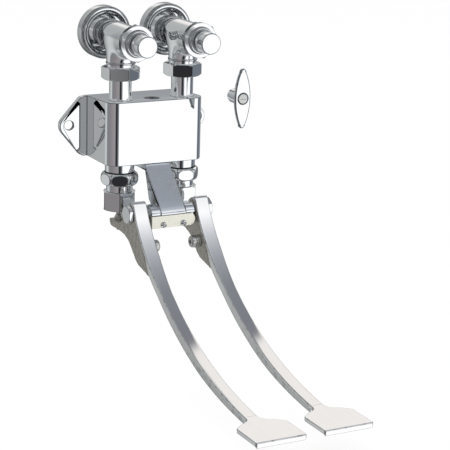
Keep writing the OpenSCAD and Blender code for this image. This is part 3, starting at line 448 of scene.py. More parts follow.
# Copy of a CAD node with its triangles merged into whole faces and its edges rounded over
def roundedCopy(nodeName, width):
    bm = bmesh.new()
    bm.from_mesh(nodes[nodeName].data)
    bmesh.ops.remove_doubles(bm, verts=bm.verts, dist=mergeWithin)
    flat = math.radians(flatWithin)
    bmesh.ops.dissolve_limit(bm, angle_limit=flat, verts=bm.verts, edges=bm.edges, delimit=set())
    if nodeName == "box_casting":
        slope = math.tan(math.radians(earHollow["rise"]))
        for v in bm.verts:
            if abs(v.co.x) > earHollow["from"] and abs(v.co.y + earHollow["depth"]) < earHollow["near"]:
                v.co.y -= (earHollow["to"] - abs(v.co.x)) * slope
    return rounded(meshFrom(bm, nodeName + ".rounded"), width)


# Only points closer than this are merged where finished parts are put together, in metres
coincident = 1e-8


# One mesh from several, with doubled points merged and faces turned outwards
def joined(name, parts, merge=1e-7):
    bm = bmesh.new()
    for part in parts:
        bm.from_mesh(part)
    bmesh.ops.remove_doubles(bm, verts=bm.verts, dist=merge)
    bmesh.ops.dissolve_degenerate(bm, edges=bm.edges, dist=merge)
    bmesh.ops.delete(bm, geom=[e for e in bm.edges if not e.link_faces], context="EDGES")
    bmesh.ops.recalc_face_normals(bm, faces=bm.faces)
    return meshFrom(bm, name)


# Closed skin over rings of points; each ring is closed, and the first and last get a cap
def skin(name, rings, capped=True, edge=None):
    rings = np.asarray(rings, float)
    count, size = rings.shape[:2]
    here = np.arange(count - 1)[:, None] * size + np.arange(size)[None, :]
    step = np.arange(count - 1)[:, None] * size + (np.arange(size)[None, :] + 1) % size
    faces = np.stack([here, step, step + size, here + size], -1).reshape(-1, 4).tolist()
    if capped:
        faces += [list(range(size))[::-1], list(range((count - 1) * size, count * size))]
    mesh = bpy.data.meshes.new(name)
    mesh.from_pydata((rings.reshape(-1, 3) * 0.001).tolist(), [], faces)
    marks = np.zeros(len(faces), np.float32)
    if edge is not None:
        marks[:(count - 1) * size] = np.broadcast_to(edge, (count - 1, size)).ravel()
    mesh.attributes.new("edge", "FLOAT", "FACE").data.foreach_set("value", marks)
    return joined(name, [mesh], 1e-6)


# Outline with every corner turned into a short curve, and a mark on each stretch that is such a curve
def softOutline(points, radius, closed):
    points = [np.array(p, float) for p in points]
    out = []
    last = len(points) - 1
    for i, p in enumerate(points):
        if p[0] == 0 or not closed and i in (0, last):
            out.append((p, 0))
            continue
        before, after = points[i - 1] - p, points[(i + 1) % (last + 1)] - p
        a, b = np.linalg.norm(before), np.linalg.norm(after)
        cut = min(radius, 0.46 * a, 0.46 * b)
        start, end = p + before / a * cut, p + after / b * cut
        for t in (0, 0.25, 0.5, 0.75, 1):
            out.append(((1 - t) ** 2 * start + 2 * (1 - t) * t * p + t * t * end, int(t < 1)))
    return out


# Lathe for pieces with flats: sides, longest stretch of the outline, degrees from the middle of a flat to its
# corner, and the mark on that, which paints shade on the corners of the flats
flatLathe = {"sides": 240, "step": 0.45, "corner": 28.6, "mark": 0.9}


# Turned piece from (radius, height) points. Flats, if given, are (across flats, turn, low, high)
def turned(name, points, closed=False, radius=0.5, flats=None, sides=144, soft=0.35):
    line = softOutline(points, radius, closed)
    if flats:
        sides, dense = flatLathe["sides"], []
        for (p, mark), (q, _) in zip(line, line[1:] + line[:1]):
            n = max(1, int(np.linalg.norm(q - p) / flatLathe["step"]))
            dense += [(p + (q - p) * k / n, mark) for k in range(n)]
            if not closed and q is line[-1][0]:
                dense.append((q, 0))
                break
        line = dense
    marks = np.array([mark for _, mark in line], float)[:, None] * np.ones((1, sides))
    line = np.array([p for p, _ in line])
    angles = np.arange(sides) * 2 * math.pi / sides
    r = np.repeat(line[:, :1], sides, 1)
    if flats:
        across, turn, low, high = flats
        beside = (np.degrees(angles) - turn) % 60 - 30
        wall = across / 2 / np.cos(np.radians(beside))[None, :] + 0 * r
        inside = (line[:, 1:] >= low - 1e-6) & (line[:, 1:] <= high + 1e-6) & (line[:, :1] > across / 2 * 0.9)
        blend = np.clip(soft - np.abs(r - wall), 0, None) / soft
        r = np.where(inside, np.minimum(r, wall) - blend ** 2 * soft / 4, r)
        # The corners of the flats and the faces near them are marked for painted shade
        corner = (np.abs(beside) > flatLathe["corner"])[None, :]
        marks = np.maximum(marks * ~inside, inside * corner * flatLathe["mark"])
        marks = np.maximum(marks, inside * (blend > 0.05) * flatLathe["mark"])
    rings = np.stack([r * np.cos(angles), r * np.sin(angles), np.repeat(line[:, 1:], sides, 1)], -1)
    if closed:
        rings = np.concatenate([rings, rings[:1]])
    mesh = skin(name, rings, capped=False, edge=marks[:len(rings) - 1])
    smoothMesh(mesh, 38)
    return mesh


def placed(mesh, matrix):
    mesh.transform(matrix)
    return mesh


# Half the distance between the sides, the columns' distance from the wall and the stops' height, in metres
halfSpacing, columnDepth, stopHeight = 0.0325, 0.0455, 0.0895


def turnAbout(axis, degrees):
    return Matrix.Rotation(math.radians(degrees), 4, axis)


def onStop(side):
    return Matrix.Translation((side * halfSpacing, 0, stopHeight)) @ turnAbout("X", 90)


def onValve(side):
    return Matrix.Translation((side * halfSpacing, -columnDepth, 0))


# Surface of a solid given as a distance field: one point per crossed cell, moved onto the surface
def netMesh(name, field, sizes, probe=0.01):
    cell = sizes["cell"]
    axes = [np.arange(a, b + cell, cell) for a, b in zip(sizes["netLow"], sizes["netHigh"])]
    grid = np.stack(np.meshgrid(*axes, indexing="ij"), -1)
    inside = field(grid) < 0
    shape = inside.shape
    width, depth, height = (n - 1 for n in shape)
    corner = [inside[i:width + i, j:depth + j, k:height + k] for i in (0, 1) for j in (0, 1) for k in (0, 1)]
    total = sum(c.astype(int) for c in corner)
    mixed = (total > 0) & (total < 8)
    number = -np.ones(mixed.shape, int)
    number[mixed] = np.arange(mixed.sum())
    points = grid[:-1, :-1, :-1][mixed] + cell / 2
    for _ in range(6):
        d = field(points)
        slope = np.stack([(field(points + e) - field(points - e)) / (2 * probe) for e in np.eye(3) * probe], -1)
        size = np.clip((slope ** 2).sum(-1), 0.3, None)
        points = points - np.clip(d / size, -cell / 2, cell / 2)[:, None] * slope
    faces = []
    for axis in range(3):
        a, b = [k for k in range(3) if k != axis]
        first = np.take(inside, range(shape[axis] - 1), axis)
        second = np.take(inside, range(1, shape[axis]), axis)
        for out in (False, True):
            spots = np.argwhere((first != second) & (first == out))
            u, v = spots[:, a], spots[:, b]
            spots = spots[(u > 0) & (v > 0) & (u < shape[a] - 1) & (v < shape[b] - 1)]
            ring = []
            for da, db in ((-1, -1), (0, -1), (0, 0), (-1, 0)):
                spot = spots.copy()
                spot[:, a] += da
                spot[:, b] += db
                ring.append(number[spot[:, 0], spot[:, 1], spot[:, 2]])
            faces.append(np.stack(ring, -1))
    mesh = bpy.data.meshes.new(name)
    mesh.from_pydata((points * 0.001).tolist(), [], np.concatenate(faces).tolist())
    mesh = joined(name, [mesh])
    mesh.shade_smooth()
    return mesh


def smoothUnion(a, b, k):
    return np.minimum(a, b) - np.clip(k - np.abs(a - b), 0, None) ** 2 / (4 * k)


def softEdges(across, along, r):
    outside = np.sqrt(np.clip(across + r, 0, None) ** 2 + np.clip(along + r, 0, None) ** 2)
    return outside + np.minimum(np.maximum(across + r, along + r), 0) - r


def newTree(name, inputs):
    tree = bpy.data.node_groups.new(name, "GeometryNodeTree")
    for label, kind, value in inputs:
        socket = tree.interface.new_socket(label, in_out="INPUT", socket_type="NodeSocket" + kind)
        if value is not None:
            socket.default_value = value
    tree.interface.new_socket("Geometry", in_out="OUTPUT", socket_type="NodeSocketGeometry")
    return tree, tree.nodes.new("NodeGroupInput").outputs


# Every tree ends in whole, painted geometry
def endTree(tree, geometry, material):
    whole = addNode(tree, "GeometryNodeRealizeInstances", {0: geometry})
    painted = addNode(tree, "GeometryNodeSetMaterial", {"Geometry": whole.outputs[0], "Material": material})
    tree.links.new(painted.outputs[0], tree.nodes.new("NodeGroupOutput").inputs[0])
    return tree


def chance(tree, low, high, seed):
    return addNode(tree, "FunctionNodeRandomValue", {2: low, 3: high, "Seed": seed}, data_type="FLOAT").outputs[1]


# Geometry Nodes tree that winds a ridge round an axis; its height wanders a little, like a cut thread
def makeThreadTree():
    tree, get = newTree("thread", (
        ("Radius", "Float", 0.005), ("Pitch", "Float", 0.0014), ("Turns", "Float", 6.0), ("Ridge", "Float", 0.0004),
        ("Seed", "Int", 4), ("Material", "Material", None)))
    rise = maths(tree, "MULTIPLY", get["Pitch"], get["Turns"])
    spiral = addNode(tree, "GeometryNodeCurveSpiral", {
        "Resolution": 40, "Rotations": get["Turns"], "Start Radius": get["Radius"], "End Radius": get["Radius"],
        "Height": rise})
    wander = chance(tree, 0.9, 1.06, get["Seed"])
    thick = addNode(tree, "GeometryNodeSetCurveRadius", {"Curve": spiral.outputs[0], "Radius": wander})
    ridge = addNode(tree, "GeometryNodeCurvePrimitiveCircle", {
        "Resolution": 5, "Radius": get["Ridge"]}, mode="RADIUS")
    sweep = addNode(tree, "GeometryNodeCurveToMesh", {
        "Curve": thick.outputs[0], "Profile Curve": ridge.outputs[0], "Fill Caps": True})
    return endTree(tree, sweep.outputs[0], get["Material"])


# Geometry Nodes tree that sets copies of a mesh in a row, each turned a little differently
def makeRowTree():
    tree, get = newTree("row of copies", (
        ("Geometry", "Geometry", None), ("Count", "Int", 2), ("Start", "Vector", (0, 0, 0)),
        ("Step", "Vector", (0, 0, 0)), ("Turn", "Float", 0.6), ("Seed", "Int", 3), ("Material", "Material", None)))
    line = addNode(tree, "GeometryNodeMeshLine", {
        "Count": get["Count"], "Start Location": get["Start"], "Offset": get["Step"]})
    spin = chance(tree, 0.0, get["Turn"], get["Seed"])
    turn = addNode(tree, "ShaderNodeCombineXYZ", {"Z": spin}).outputs[0]
    copies = addNode(tree, "GeometryNodeInstanceOnPoints", {
        "Points": line.outputs[0], "Instance": get["Geometry"], "Rotation": turn})
    return endTree(tree, copies.outputs[0], get["Material"])


def fromTree(tree, mesh, **inputs):
    holder = newObject("holder", mesh or bpy.data.meshes.new("empty"))
    step = holder.modifiers.new("nodes", "NODES")
    step.node_group = tree
    for item in tree.interface.items_tree:
        if item.in_out == "INPUT" and item.name in inputs:
            step[item.identifier] = inputs[item.name]
    holder.update_tag()
    made = bpy.data.meshes.new_from_object(holder.evaluated_get(bpy.context.evaluated_depsgraph_get()))
    bpy.data.objects.remove(holder)
    return made


threadTree = makeThreadTree()
rowTree = makeRowTree()

# Copies of CAD nodes: the finish each takes, and how far its edges are rounded, in millimetres
dressed = {
    "box_casting": ("polished chrome", 0.6), "hinge_arm": ("satin chrome", 0.7),
    "keeper_plate": ("cream zinc", 0.35), "hinge_pin": ("polished chrome", 0.3),
    "pin_nut": ("polished chrome", 0.3), "arm_screws": ("turned steel", 0.3),
    "coupling_washers": ("black rubber", 0), "stem_packings": ("black rubber", 0),
    "packing_nuts": ("turned brass", 0.2), "valve_seats": ("turned brass", 0.2),
    "valve_seals": ("black rubber", 0), "thrust_washers": ("turned steel", 0.2),
    "key_grip": ("polished chrome", 1.2), "key_hub": ("polished chrome", 0.2),
    "key_screw": ("turned steel", 0.15),
}
paired = {
    "stop_disc": ("turned brass", 0.15), "push_stem": ("turned steel", 0.15), "valve_disc": ("black rubber", 0),
    "pedal_bolt": ("turned steel", 0.3), "dowel": ("turned steel", 0.2), "adjusting_screw": ("turned steel", 0.15),
    "lock_nut": ("turned steel", 0.2), "return_spring": ("turned steel", None),
}
for kind, how in paired.items():
    for side in ("left", "right"):
        dressed[kind + "_" + side] = how

# Threads: where each starts, its radius, pitch, number of turns, ridge and seed, in millimetres.
# Those of the stops start on the stop's own axis
screwThread = (2.42, 0.8, 11, 0.2, 7)
armThread = (2.45, 0.8, 15, 0.2, 7)
threads = {
    "box_casting": [((0, -45.5, 17.5), 7.45, 1.35, 9, 0.36, 7)],
    "adjusting_screw_left": [((-32.5, -45.5, -96.2), *screwThread)],
    "adjusting_screw_right": [((32.5, -45.5, -96.2), *screwThread)],
    "arm_screws": [((-7, -20, -36.5), *armThread), ((7, -20, -36.5), *armThread)],
    "inlet": [((0, 0, 0.8), 9.25, 1.8, 7, 0.42, 11)],
    "stop stem": [((0, 0, 65.8), 5.4, 1.5, 5, 0.42, 5)],
}


def cutThreads(name, finishName):
    out = []
    for start, radius, pitch, turns, ridge, seed in threads.get(name, []):
        made = fromTree(threadTree, None, Radius=radius * 0.001, Pitch=pitch * 0.001, Turns=float(turns),
                        Ridge=ridge * 0.001, Seed=seed, Material=finish[finishName])
        out.append(placed(made, Matrix.Translation([v * 0.001 for v in start])))
    return out


# Walls painted darker than the rest, as painted shade: the box's outlet hole and ear holes, the bonnet's hex sides
# and the step between the hex and the cap. For each, a point on their axis, the axis, their radii, the range along
# it and how dark they are, in millimetres
shadedWalls = {
    "box_casting": [((0, -45.5, 0), 2, (0, 7.9), (15, 45), 1.0), ((-67.3, 0, 0), 1, (0, 4.8), (-9, 1), 1.0),
                    ((67.3, 0, 0), 1, (0, 4.8), (-9, 1), 1.0)],
    "stop_bonnet": [((0, 0, 0), 2, (15, 19), (77.6, 82.6), 0.85), ((0, 0, 0), 2, (10.5, 12.8), (83.0, 87.9), 0.55)],
}


# Paints shade on such walls by marking them, but not the floors and ends between them, which face along the axis
def paintShadeOnWalls(mesh, walls, straight=0.6):
    centres = np.zeros(len(mesh.polygons) * 3)
    mesh.polygons.foreach_get("center", centres)
    centres = centres.reshape(-1, 3) * 1000
    facing = np.zeros(len(mesh.polygons) * 3)
    mesh.polygons.foreach_get("normal", facing)
    facing = np.abs(facing.reshape(-1, 3))
    marks = np.zeros(len(centres), np.float32)
    mesh.attributes["edge"].data.foreach_get("value", marks)
    for point, axis, (inner, outer), (low, high), amount in walls:
        away = centres - np.array(point)
        along = centres[:, axis]
        away[:, axis] = 0
        away = np.linalg.norm(away, axis=1)
        within = (away > inner) & (away < outer) & (along > low) & (along < high)
        marks[within & (facing[:, axis] < straight)] = amount
    mesh.attributes["edge"].data.foreach_set("value", marks)


for nodeName, (finishName, width) in dressed.items():
    if width is None:
        nodes[nodeName].data.materials.clear()
        nodes[nodeName].data.materials.append(finish[finishName])
        continue
    copy = roundedCopy(nodeName, width * 0.001)
    ridges = cutThreads(nodeName, finishName)
    if ridges:
        smoothMesh(ridges[0])
        copy = shadedByFaces(joined(nodeName, [copy] + ridges, coincident))
    if nodeName in shadedWalls:
        paintShadeOnWalls(copy, shadedWalls[nodeName])
    finishPiece(nodeName, copy, finishName)
print("stage: rounded copies and threads")

# Turned pieces: (radius, height) points along each axis, in millimetres
profiles = {
    "wall_flange": [
        (25.4, 0.05), (25.4, 10.4), (25.0, 12.0), (23.9, 12.98), (21.4, 12.98), (20.8, 11.7), (18.3, 10.7),
        (12.8, 9.7), (11.25, 9.7), (11.25, 8.1), (18.3, 8.9), (23.2, 9.5), (23.8, 8.3), (23.8, 0.05)],
    "stop_cap": [
        (9.7, 89.9), (10.1, 90.4), (10.1, 104.3), (9.4, 105.08), (0, 105.08), (0, 102.9), (8.86, 102.9),
        (8.86, 89.9)],
    "stop_bonnet": [
        (10.7, 61.6), (10.7, 77.55), (16.9, 77.55), (18.0, 78.3), (18.0, 82.3), (16.9, 83), (12.5, 83),
        (12.5, 86.5), (10.7, 86.5), (10.7, 87.9), (8.75, 87.9), (8.75, 92.95), (6.4, 92.95), (6.4, 80.1),
        (4.1, 80.1), (4.1, 77.4), (5.6, 77.4), (5.6, 61.6)],
    "shank": [(9.3, 0.05), (11.1, 0.05), (11.1, 24), (6, 24), (6, 15), (9.3, 15)],
    "rear ring": [(12, 20.2), (14.2, 20.2), (14.88, 20.9), (14.88, 22.2), (14.3, 23.2), (12, 23.2)],
    "coupling_nut": [
        (10.75, 50.75), (16.2, 50.75), (18.6, 52.0), (18.6, 61.7), (17.0, 62.65), (13.3, 62.65), (13.3, 53.6),
        (10.75, 53.6)],
    "supply_tube": [(8.65, 22.05), (10.65, 22.05), (10.65, 53.55), (12.85, 53.65), (12.85, 55.45), (8.65, 55.45)],
    "valve_barrel": [
        (8.0, -21.8), (13.0, -21.8), (13.0, -30.5), (14.1, -30.55), (14.1, -38.3), (13.1, -39), (13.1, -45.6),
        (12.7, -45.95), (10.05, -45.95), (10.05, -32.5), (8.0, -32.5)],
    "bead_nut": [
        (14.2, -39.05), (15.2, -39.05), (17.3, -40.8), (18.15, -43.6), (18.15, -46.9), (17.3, -49.7),
        (15.2, -51.45), (12.85, -51.45), (12.85, -49.1), (14.2, -49.1)],
    "valve_body": [
        (0, -75.95), (15.3, -75.95), (17.0, -74.9), (17.0, -59.0), (15.6, -58.02), (12.7, -58.0),
        (12.7, -49.05), (12.9, -49.0), (12.9, -46.2), (9.9, -46.2), (9.9, -33.1), (6.5, -33.1), (6.5, -67.9),
        (0, -67.9)],
    "stop stem": [
        (0, 44.75), (4.0, 44.75), (4.0, 65.5), (5.5, 65.6), (5.5, 73.4), (4.0, 73.5), (4.0, 95.2), (0, 95.2)],
}
# Each turned piece: whether its outline is closed, the radius of its corners, where it stands, and its flats, if
# any, as (across, turn on the left, turn on the right, low, high)
lathed = {
    "wall_flange": (True, 0.8, onStop, None),
    "stop_cap": (True, 0.3, onStop, None),
    "stop_bonnet": (True, 0.75, onStop, (31, 93, 104, 77.6, 82.95)),
    "coupling_nut": (True, 0.4, onValve, (32, 32, 34.5, 50.8, 62.6)),
    "supply_tube": (True, 0.25, onValve, None),
    "valve_barrel": (True, 0.35, onValve, None),
    "bead_nut": (True, 1.0, onValve, (32.5, -22, -6.5, -51.4, -39.1)),
    "valve_body": (False, 0.4, onValve, (29.3, -113.5, -113.5, -75.9, -58.05)),
}
stopLines = {
    "shoulder": [(11.5, -24.05), (14.05, -24.05), (14.15, -23.6), (14.15, -22.6), (13.6, -22), (11.5, -22)],
    "outlet": [(6.5, -31.95), (12.9, -31.95), (13.1, -31.5), (13.1, -22), (6.5, -22)]}
bodyShape = {"r": 14.3, "neck": 13.65, "back": 20.6, "front": 77.5, "low": 22.4, "fillet": 8.0, "outlet": 45.5,
             "start": 2, "soft": 0.7, "netLow": (-17, -24, 19), "netHigh": (17, 17, 79), "cell": 0.7}
stemSquare = {"half": 2.7, "ends": (95.2, 98.2)}
# Rows set by the tree: the way from one copy to the next, how much each may turn, and where the row stands, in
# metres, and the outline of the piece in millimetres
washerRow = {"step": (0, 0, -0.0021), "turn": 0.7, "seed": 3, "inset": 0.0078, "depth": 0.101, "drop": 0.100,
             "line": [(2.6, -0.95), (6.2, -0.95), (6.28, -0.5), (6.28, 0.5), (6.2, 0.98), (2.6, 0.98)]}
screwRow = {"start": (-0.0105, 0, 0), "step": (0.021, 0, 0), "turn": 2.4, "seed": 8, "depth": 0.0956,
            "drop": 0.0812, "slotFrom": 0.0041, "slotHalf": 0.0005, "slotFloor": 0.0043,
            "line": [(0, -8.4), (1.9, -8.4), (2.0, -8.0), (2.0, 3.2), (2.9, 3.22), (2.9, 4.0), (2.3, 4.85),
                     (1.2, 5.35), (0, 5.5)]}


def teeField(p):
    s = bodyShape
    x, y, z = p[..., 0], p[..., 1], p[..., 2]
    run = np.hypot(x, y) - s["r"]
    drop = np.maximum(np.hypot(x, z - s["outlet"]) - s["neck"], y - s["start"])
    both = smoothUnion(run, drop, s["fillet"])
    return softEdges(both, np.maximum(np.maximum(s["back"] - z, z - s["front"]), -y - s["low"]), s["soft"])


# Worked out once; the stop's own axis is Z here, and its outlet points along -Y
tee = netMesh("tee", teeField, bodyShape)
for side, sign in (("left", -1), ("right", 1)):
    at = onStop(sign)
    down = Matrix.Translation((0, 0, columnDepth)) @ turnAbout("X", -90)
    shoulder = [placed(turned("shoulder", line, closed=True, radius=0.3), down) for line in stopLines.values()]
    parts = [tee, turned("shank", profiles["shank"], closed=True, radius=0.3)]
    parts.append(turned("ring", profiles["rear ring"], closed=True))
    parts += cutThreads("inlet", "polished chrome") + shoulder
    body = placed(joined("stop_body_" + side, parts, coincident), at)
    smoothMesh(body, 36)
    finishPiece("stop_body_" + side, body, "polished chrome")

    for kind, (closed, radius, stand, flats) in lathed.items():
        if flats:
            across, leftTurn, rightTurn, low, high = flats
            flats = (across, leftTurn if sign < 0 else rightTurn, low, high)
        mesh = turned(kind, profiles[kind], closed=closed, radius=radius, flats=flats)
        # Painted shade on the chosen walls of this piece
        if kind in shadedWalls:
            paintShadeOnWalls(mesh, shadedWalls[kind])
        finishPiece(kind + "_" + side, placed(mesh, stand(sign)), "polished chrome")

    half, corners = stemSquare["half"], ((1, 1), (-1, 1), (-1, -1), (1, -1))
    square = skin("square", [[(a * half, b * half, h) for a, b in corners] for h in stemSquare["ends"]])
    parts = [turned("stem", profiles["stop stem"])] + cutThreads("stop stem", "turned brass") + [square]
    stem = placed(joined("stop_stem_" + side, parts, coincident), at)
    smoothMesh(stem)
    finishPiece("stop_stem_" + side, stem, "turned brass")

    # Two washers under each pedal bolt, set in a row by the tree
    w = washerRow
    ring = turned("ring", w["line"], closed=True, radius=0.2, sides=64)
    pair = fromTree(rowTree, ring, Count=2, Start=(0, 0, 0), Step=w["step"], Turn=w["turn"], Seed=w["seed"] + sign,
                    Material=finish["turned steel"])
    place = Matrix.Translation((sign * (halfSpacing - w["inset"]), -w["depth"], -w["drop"]))
    pair.transform(place @ turnAbout("Y", 90 * sign))
    smoothMesh(pair)
    finishPiece("bolt_washers_" + side, pair, "turned steel")
print("stage: turned pieces and stop bodies")

# Keeper screws: one slotted head and shank, set twice by the tree
r = screwRow
head = turned("screw", r["line"], radius=0.2, sides=64)
bm = bmesh.new()
bm.from_mesh(head)
for v in bm.verts:
    if v.co.z > r["slotFrom"] and abs(v.co.y) < r["slotHalf"]:
        v.co.z = r["slotFloor"]
bm.to_mesh(head)
bm.free()
screws = fromTree(rowTree, head, Count=2, Start=r["start"], Step=r["step"], Turn=r["turn"], Seed=r["seed"],
                  Material=finish["polished chrome"])
screws.transform(Matrix.Translation((0, -r["depth"], -r["drop"])) @ turnAbout("X", 90))
smoothMesh(screws)
finishPiece("keeper_screws", screws, "polished chrome")

# The pedal's side curve, its width by the drop below the pivot, and its depth along it, in millimetres from the
# wall and above the box's middle. Its upper end rolls back round "nose", from "rollFrom" degrees in "rollSteps"
pivot = np.array([85.5, -71.5])
pedal = {"line": pivot + np.array([[7, 10], [28.5, -34.8], [102, -105.7], [232.5, -119]]),
         "plate": 3.6, "arm": 10.8, "nose": 5.0, "rollFrom": 82, "rollSteps": 8, "steps": 110,
         # where the painted shade on the web's sides begins and where it is full along the pedal, and how dark it
         # gets
         "webShadeFrom": 0.45, "webShadeFull": 0.75, "webShade": 0.75,
         "width": [(-13, 14.0), (33, 14.0), (59, 11.3), (94, 11.3), (113, 12.0), (140, 12.0)],
         "depth": [(0, 3.6), (0.25, 3.6), (0.34, 10.8), (0.75, 10.8), (0.93, 8.4), (1, 7.8)]}


def alongPedal(t):
    p = pedal["line"]
    t = np.asarray(t)[:, None]
    place = (1 - t) ** 3 * p[0] + 3 * (1 - t) ** 2 * t * p[1] + 3 * (1 - t) * t * t * p[2] + t ** 3 * p[3]
    slope = (1 - t) ** 2 * (p[1] - p[0]) + 2 * (1 - t) * t * (p[2] - p[1]) + t * t * (p[3] - p[2])
    inward = np.stack([slope[:, 1], -slope[:, 0]], -1) / np.linalg.norm(slope, axis=1)[:, None]
    return place, inward


# Section of the arm: a crowned face with rounded edges over a slightly narrower web
def armSection(width, depth, plate):
    half = width / 2 - 0.02
    web = half - 0.7
    deep = depth > plate + 0.6
    side = [(half - 0.9, 0.06), (half - 0.35, 0.28), (half - 0.05, 0.8), (half, 1.5), (half, plate - 1.0),
            (half - 0.3, plate - 0.35)]
    if deep:
        side += [(web, plate - 0.1), (web, plate + 0.3), (web, depth - 1.1), (web - 0.3, depth - 0.35),
                 (web - 1.1, depth)]
    else:
        side += [(half - a, plate) for a in (0.9, 1.0, 1.1, 1.3, 1.6)]
    crown = [(u * (half - 0.9), 0.06 - 0.05 * (1 - u * u)) for u in (0.75, 0.5, 0.25, 0, -0.25, -0.5, -0.75)]
    under = [(u * side[-1][0], side[-1][1]) for u in (-0.5, 0, 0.5)]
    return side[::-1] + crown + [(-a, b) for a, b in side] + under


def pedalArm():
    t = np.linspace(0, 1, pedal["steps"])
    place, inward = alongPedal(t)
    turn = math.atan2(-inward[0, 1], -inward[0, 0])
    hub = place[0] + pedal["nose"] * inward[0]
    first, count = math.radians(pedal["rollFrom"]), pedal["rollSteps"]
    roll = [first + (turn - first) * k / count for k in range(count)]
    early = np.array([hub + pedal["nose"] * np.array([math.cos(a), math.sin(a)]) for a in roll])
    earlyIn = np.array([[-math.cos(a), -math.sin(a)] for a in roll])
    place = np.concatenate([early, place])
    inward = np.concatenate([earlyIn, inward])
    t = np.concatenate([np.zeros(count), t])
    widths = np.interp(pivot[1] - place[:, 1], *zip(*pedal["width"]))
    depths = np.interp(t, *zip(*pedal["depth"]))
    rings = []
    for p, n, w, d in zip(place, inward, widths, depths):
        rings.append([(u, -(p[0] + n[0] * v), p[1] + n[1] * v) for u, v in armSection(w, d, pedal["plate"])])
    # Marks for the edges of the plate, and weaker ones for the web's sides lower down; on the pedal's chrome both
    # are painted shade
    plate = pedal["plate"]
    u, v = np.array(armSection(12, pedal["arm"], plate)).T
    outer = np.abs(u) > 4
    onEdge = ((v > 0.2) & (v < 1.0)) | ((v > plate - 0.5) & (v < plate + 0.2) & outer)
    web = (v > plate + 0.2) & outer
    webShade = np.interp(t, (pedal["webShadeFrom"], pedal["webShadeFull"]), (0, pedal["webShade"]))
    webShade = webShade[:-1, None] * web[None, :]
    return skin("arm", rings, edge=np.maximum(onEdge[None, :].astype(float), webShade))


# The foot pad, in millimetres: a neck that sweeps out to the full width, and a lip under its front
pad = {"neck": 6.0, "half": 24.0, "length": 57.25, "front": 314.0, "top": -190.65, "thick": 3.8, "corner": 0.8,
       "lipLow": 5.0, "lipTop": 0.6, "lipProud": 0.23, "lipDepth": 2.6, "sweep": (13, 10.4), "sweepFrom": 6}


def padPlate():
    n, half, length, c = (pad[k] for k in ("neck", "half", "length", "corner"))
    wide, tall = pad["sweep"]
    angles = [math.radians(a) for a in range(0, 80, 15)]
    curve = [(n + wide * (1 - math.cos(a)), pad["sweepFrom"] + tall * math.sin(a)) for a in angles]
    right = [(n, -1)] + curve + [(half - 3.2, 20.5), (half - 1, 22.4), (half, 24.5)]
    right += [(half, length - c), (half - c, length)]
    outline = right + [(-a, b) for a, b in right[::-1]]
    front, top = pad["front"], pad["top"]
    plate = skin("pad", [[(a, -(front + b), h) for a, b in outline] for h in (top - pad["thick"], top)])
    foot, deep = front + length + pad["lipProud"], pad["lipDepth"]
    corners = ((c - half, 0), (half - c, 0), (half - c, deep), (c - half, deep))
    lip = skin("lip", [[(a, b - foot, h) for a, b in corners] for h in (top - pad["lipLow"], top - pad["lipTop"])])
    return [rounded(plate, 0.0007, 3, 40), rounded(lip, 0.0005, 3, 40)]


# The tongue behind the plate, which the bolt passes: where it runs along the pedal, its half width, how deep it
# goes, and how far its root lies inside the plate
tongueShape = {"along": (0.12, 0.31, 16), "half": 3, "depth": [(0, 3.6), (0.14, 17.6), (0.27, 18.6), (0.34, 10.8)],
               "root": 1}


def tongue():
    t = np.linspace(*tongueShape["along"])
    place, inward = alongPedal(t)
    deep = np.interp(t, *zip(*tongueShape["depth"]))
    over = np.interp(t, *zip(*pedal["depth"])) - tongueShape["root"]
    h = tongueShape["half"]
    rings = []
    for p, n, a, b in zip(place, inward, over, deep):
        rings.append([(u, -(p[0] + n[0] * v), p[1] + n[1] * v) for u, v in ((-h, a), (h, a), (h, b), (-h, b))])
    return skin("tongue", rings)


shape = joined("pedal", [pedalArm(), tongue()] + padPlate(), coincident)
smoothMesh(shape, 40)
shape = shadedByFaces(shape)

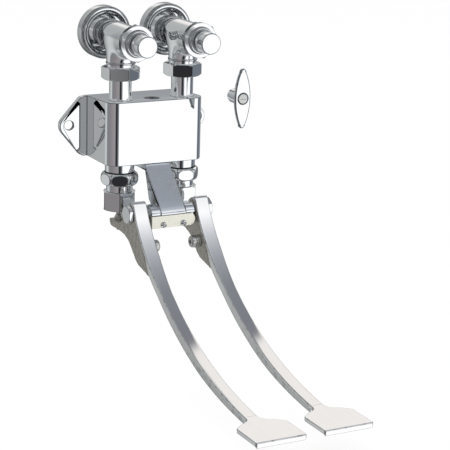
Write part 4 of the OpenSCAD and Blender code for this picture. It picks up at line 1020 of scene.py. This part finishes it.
# The rocker behind the pedal's plate, a casting with a rough skin: where it follows the plate and its gap to it,
# its half width by the drop below the pivot, its soft edges, the depth and waves of its skin, and the net over it
rocker = {"along": (0.055, 0.345, 24), "gap": 0.1, "drop": (0, 33, 59), "half": (6.78, 6.78, 5.45), "soft": 1.2,
          "skin": 0.07, "rough": 0.05,
          "waves": ((1.9, 0.7, 1.3), (-0.8, 2.1, 0.9), (1.1, -1.2, 2.3), (2.7, 1.6, -1.4)),
          "netLow": (-8.5, -128.2, -126.2), "netHigh": (8.5, -35, -59), "cell": 0.8}
t = np.linspace(*rocker["along"])
place, inward = alongPedal(t)
under = place + inward * (np.interp(t, *zip(*pedal["depth"])) + rocker["gap"])[:, None]
armTop, armLow, axis, hubRadius = -86.2, -93.5, 45.5, 10.5
hubCurve = [pivot + hubRadius * np.array([math.cos(a), math.sin(a)]) for a in np.radians(range(190, 90, -12))]
outline = np.array([
    *under, (112, -118.5), (102.5, -116.5), (96, -112), (90, -105.5), (81.5, -98.2), (72, armLow - 1.2),
    (61, armLow), (axis - 4.5, armLow), (axis - 7.2, armLow + 1.8), (axis - 8.4, armTop - 1.4),
    (axis - 7.8, armTop - 0.2), (axis - 6.8, armTop), (axis + 11, armTop), (axis + 18, armTop + 2.6),
    (68.5, -79.5), (74, -75.5), *hubCurve])


def outlineDistance(p):
    best = np.full(p.shape[:-1], 1e9)
    odd = np.zeros(p.shape[:-1], bool)
    for a, b in zip(outline, np.roll(outline, -1, 0)):
        edge = b - a
        w = p - a
        share = np.clip((w @ edge) / max(edge @ edge, 1e-9), 0, 1)
        best = np.minimum(best, ((w - share[..., None] * edge) ** 2).sum(-1))
        crossing = ((a[1] > p[..., 1]) != (b[1] > p[..., 1]))
        where = a[0] + (p[..., 1] - a[1]) * edge[0] / (edge[1] if abs(edge[1]) > 1e-9 else 1e-9)
        odd ^= crossing & (p[..., 0] < where)
    return np.where(odd, -1, 1) * np.sqrt(best)


def rockerField(p):
    side = np.stack([-p[..., 1], p[..., 2]], -1)
    half = np.interp(pivot[1] - p[..., 2], rocker["drop"], rocker["half"])
    d = softEdges(outlineDistance(side), np.abs(p[..., 0]) - half, rocker["soft"])
    rough = sum(np.sin(p @ np.array(w) + k) for k, w in enumerate(rocker["waves"]))
    return d + rocker["skin"] + rocker["rough"] * rough


casting = netMesh("casting", rockerField, rocker)
for side, sign in (("left", -1), ("right", 1)):
    for kind, mesh, finishName in (("pedal", shape, "brushed chrome"), ("rocker", casting, "cast nickel")):
        mesh = placed(mesh.copy(), Matrix.Translation((sign * halfSpacing, 0, 0)))
        finishPiece(kind + "_" + side, mesh, finishName)
print("stage: pedals and rockers")
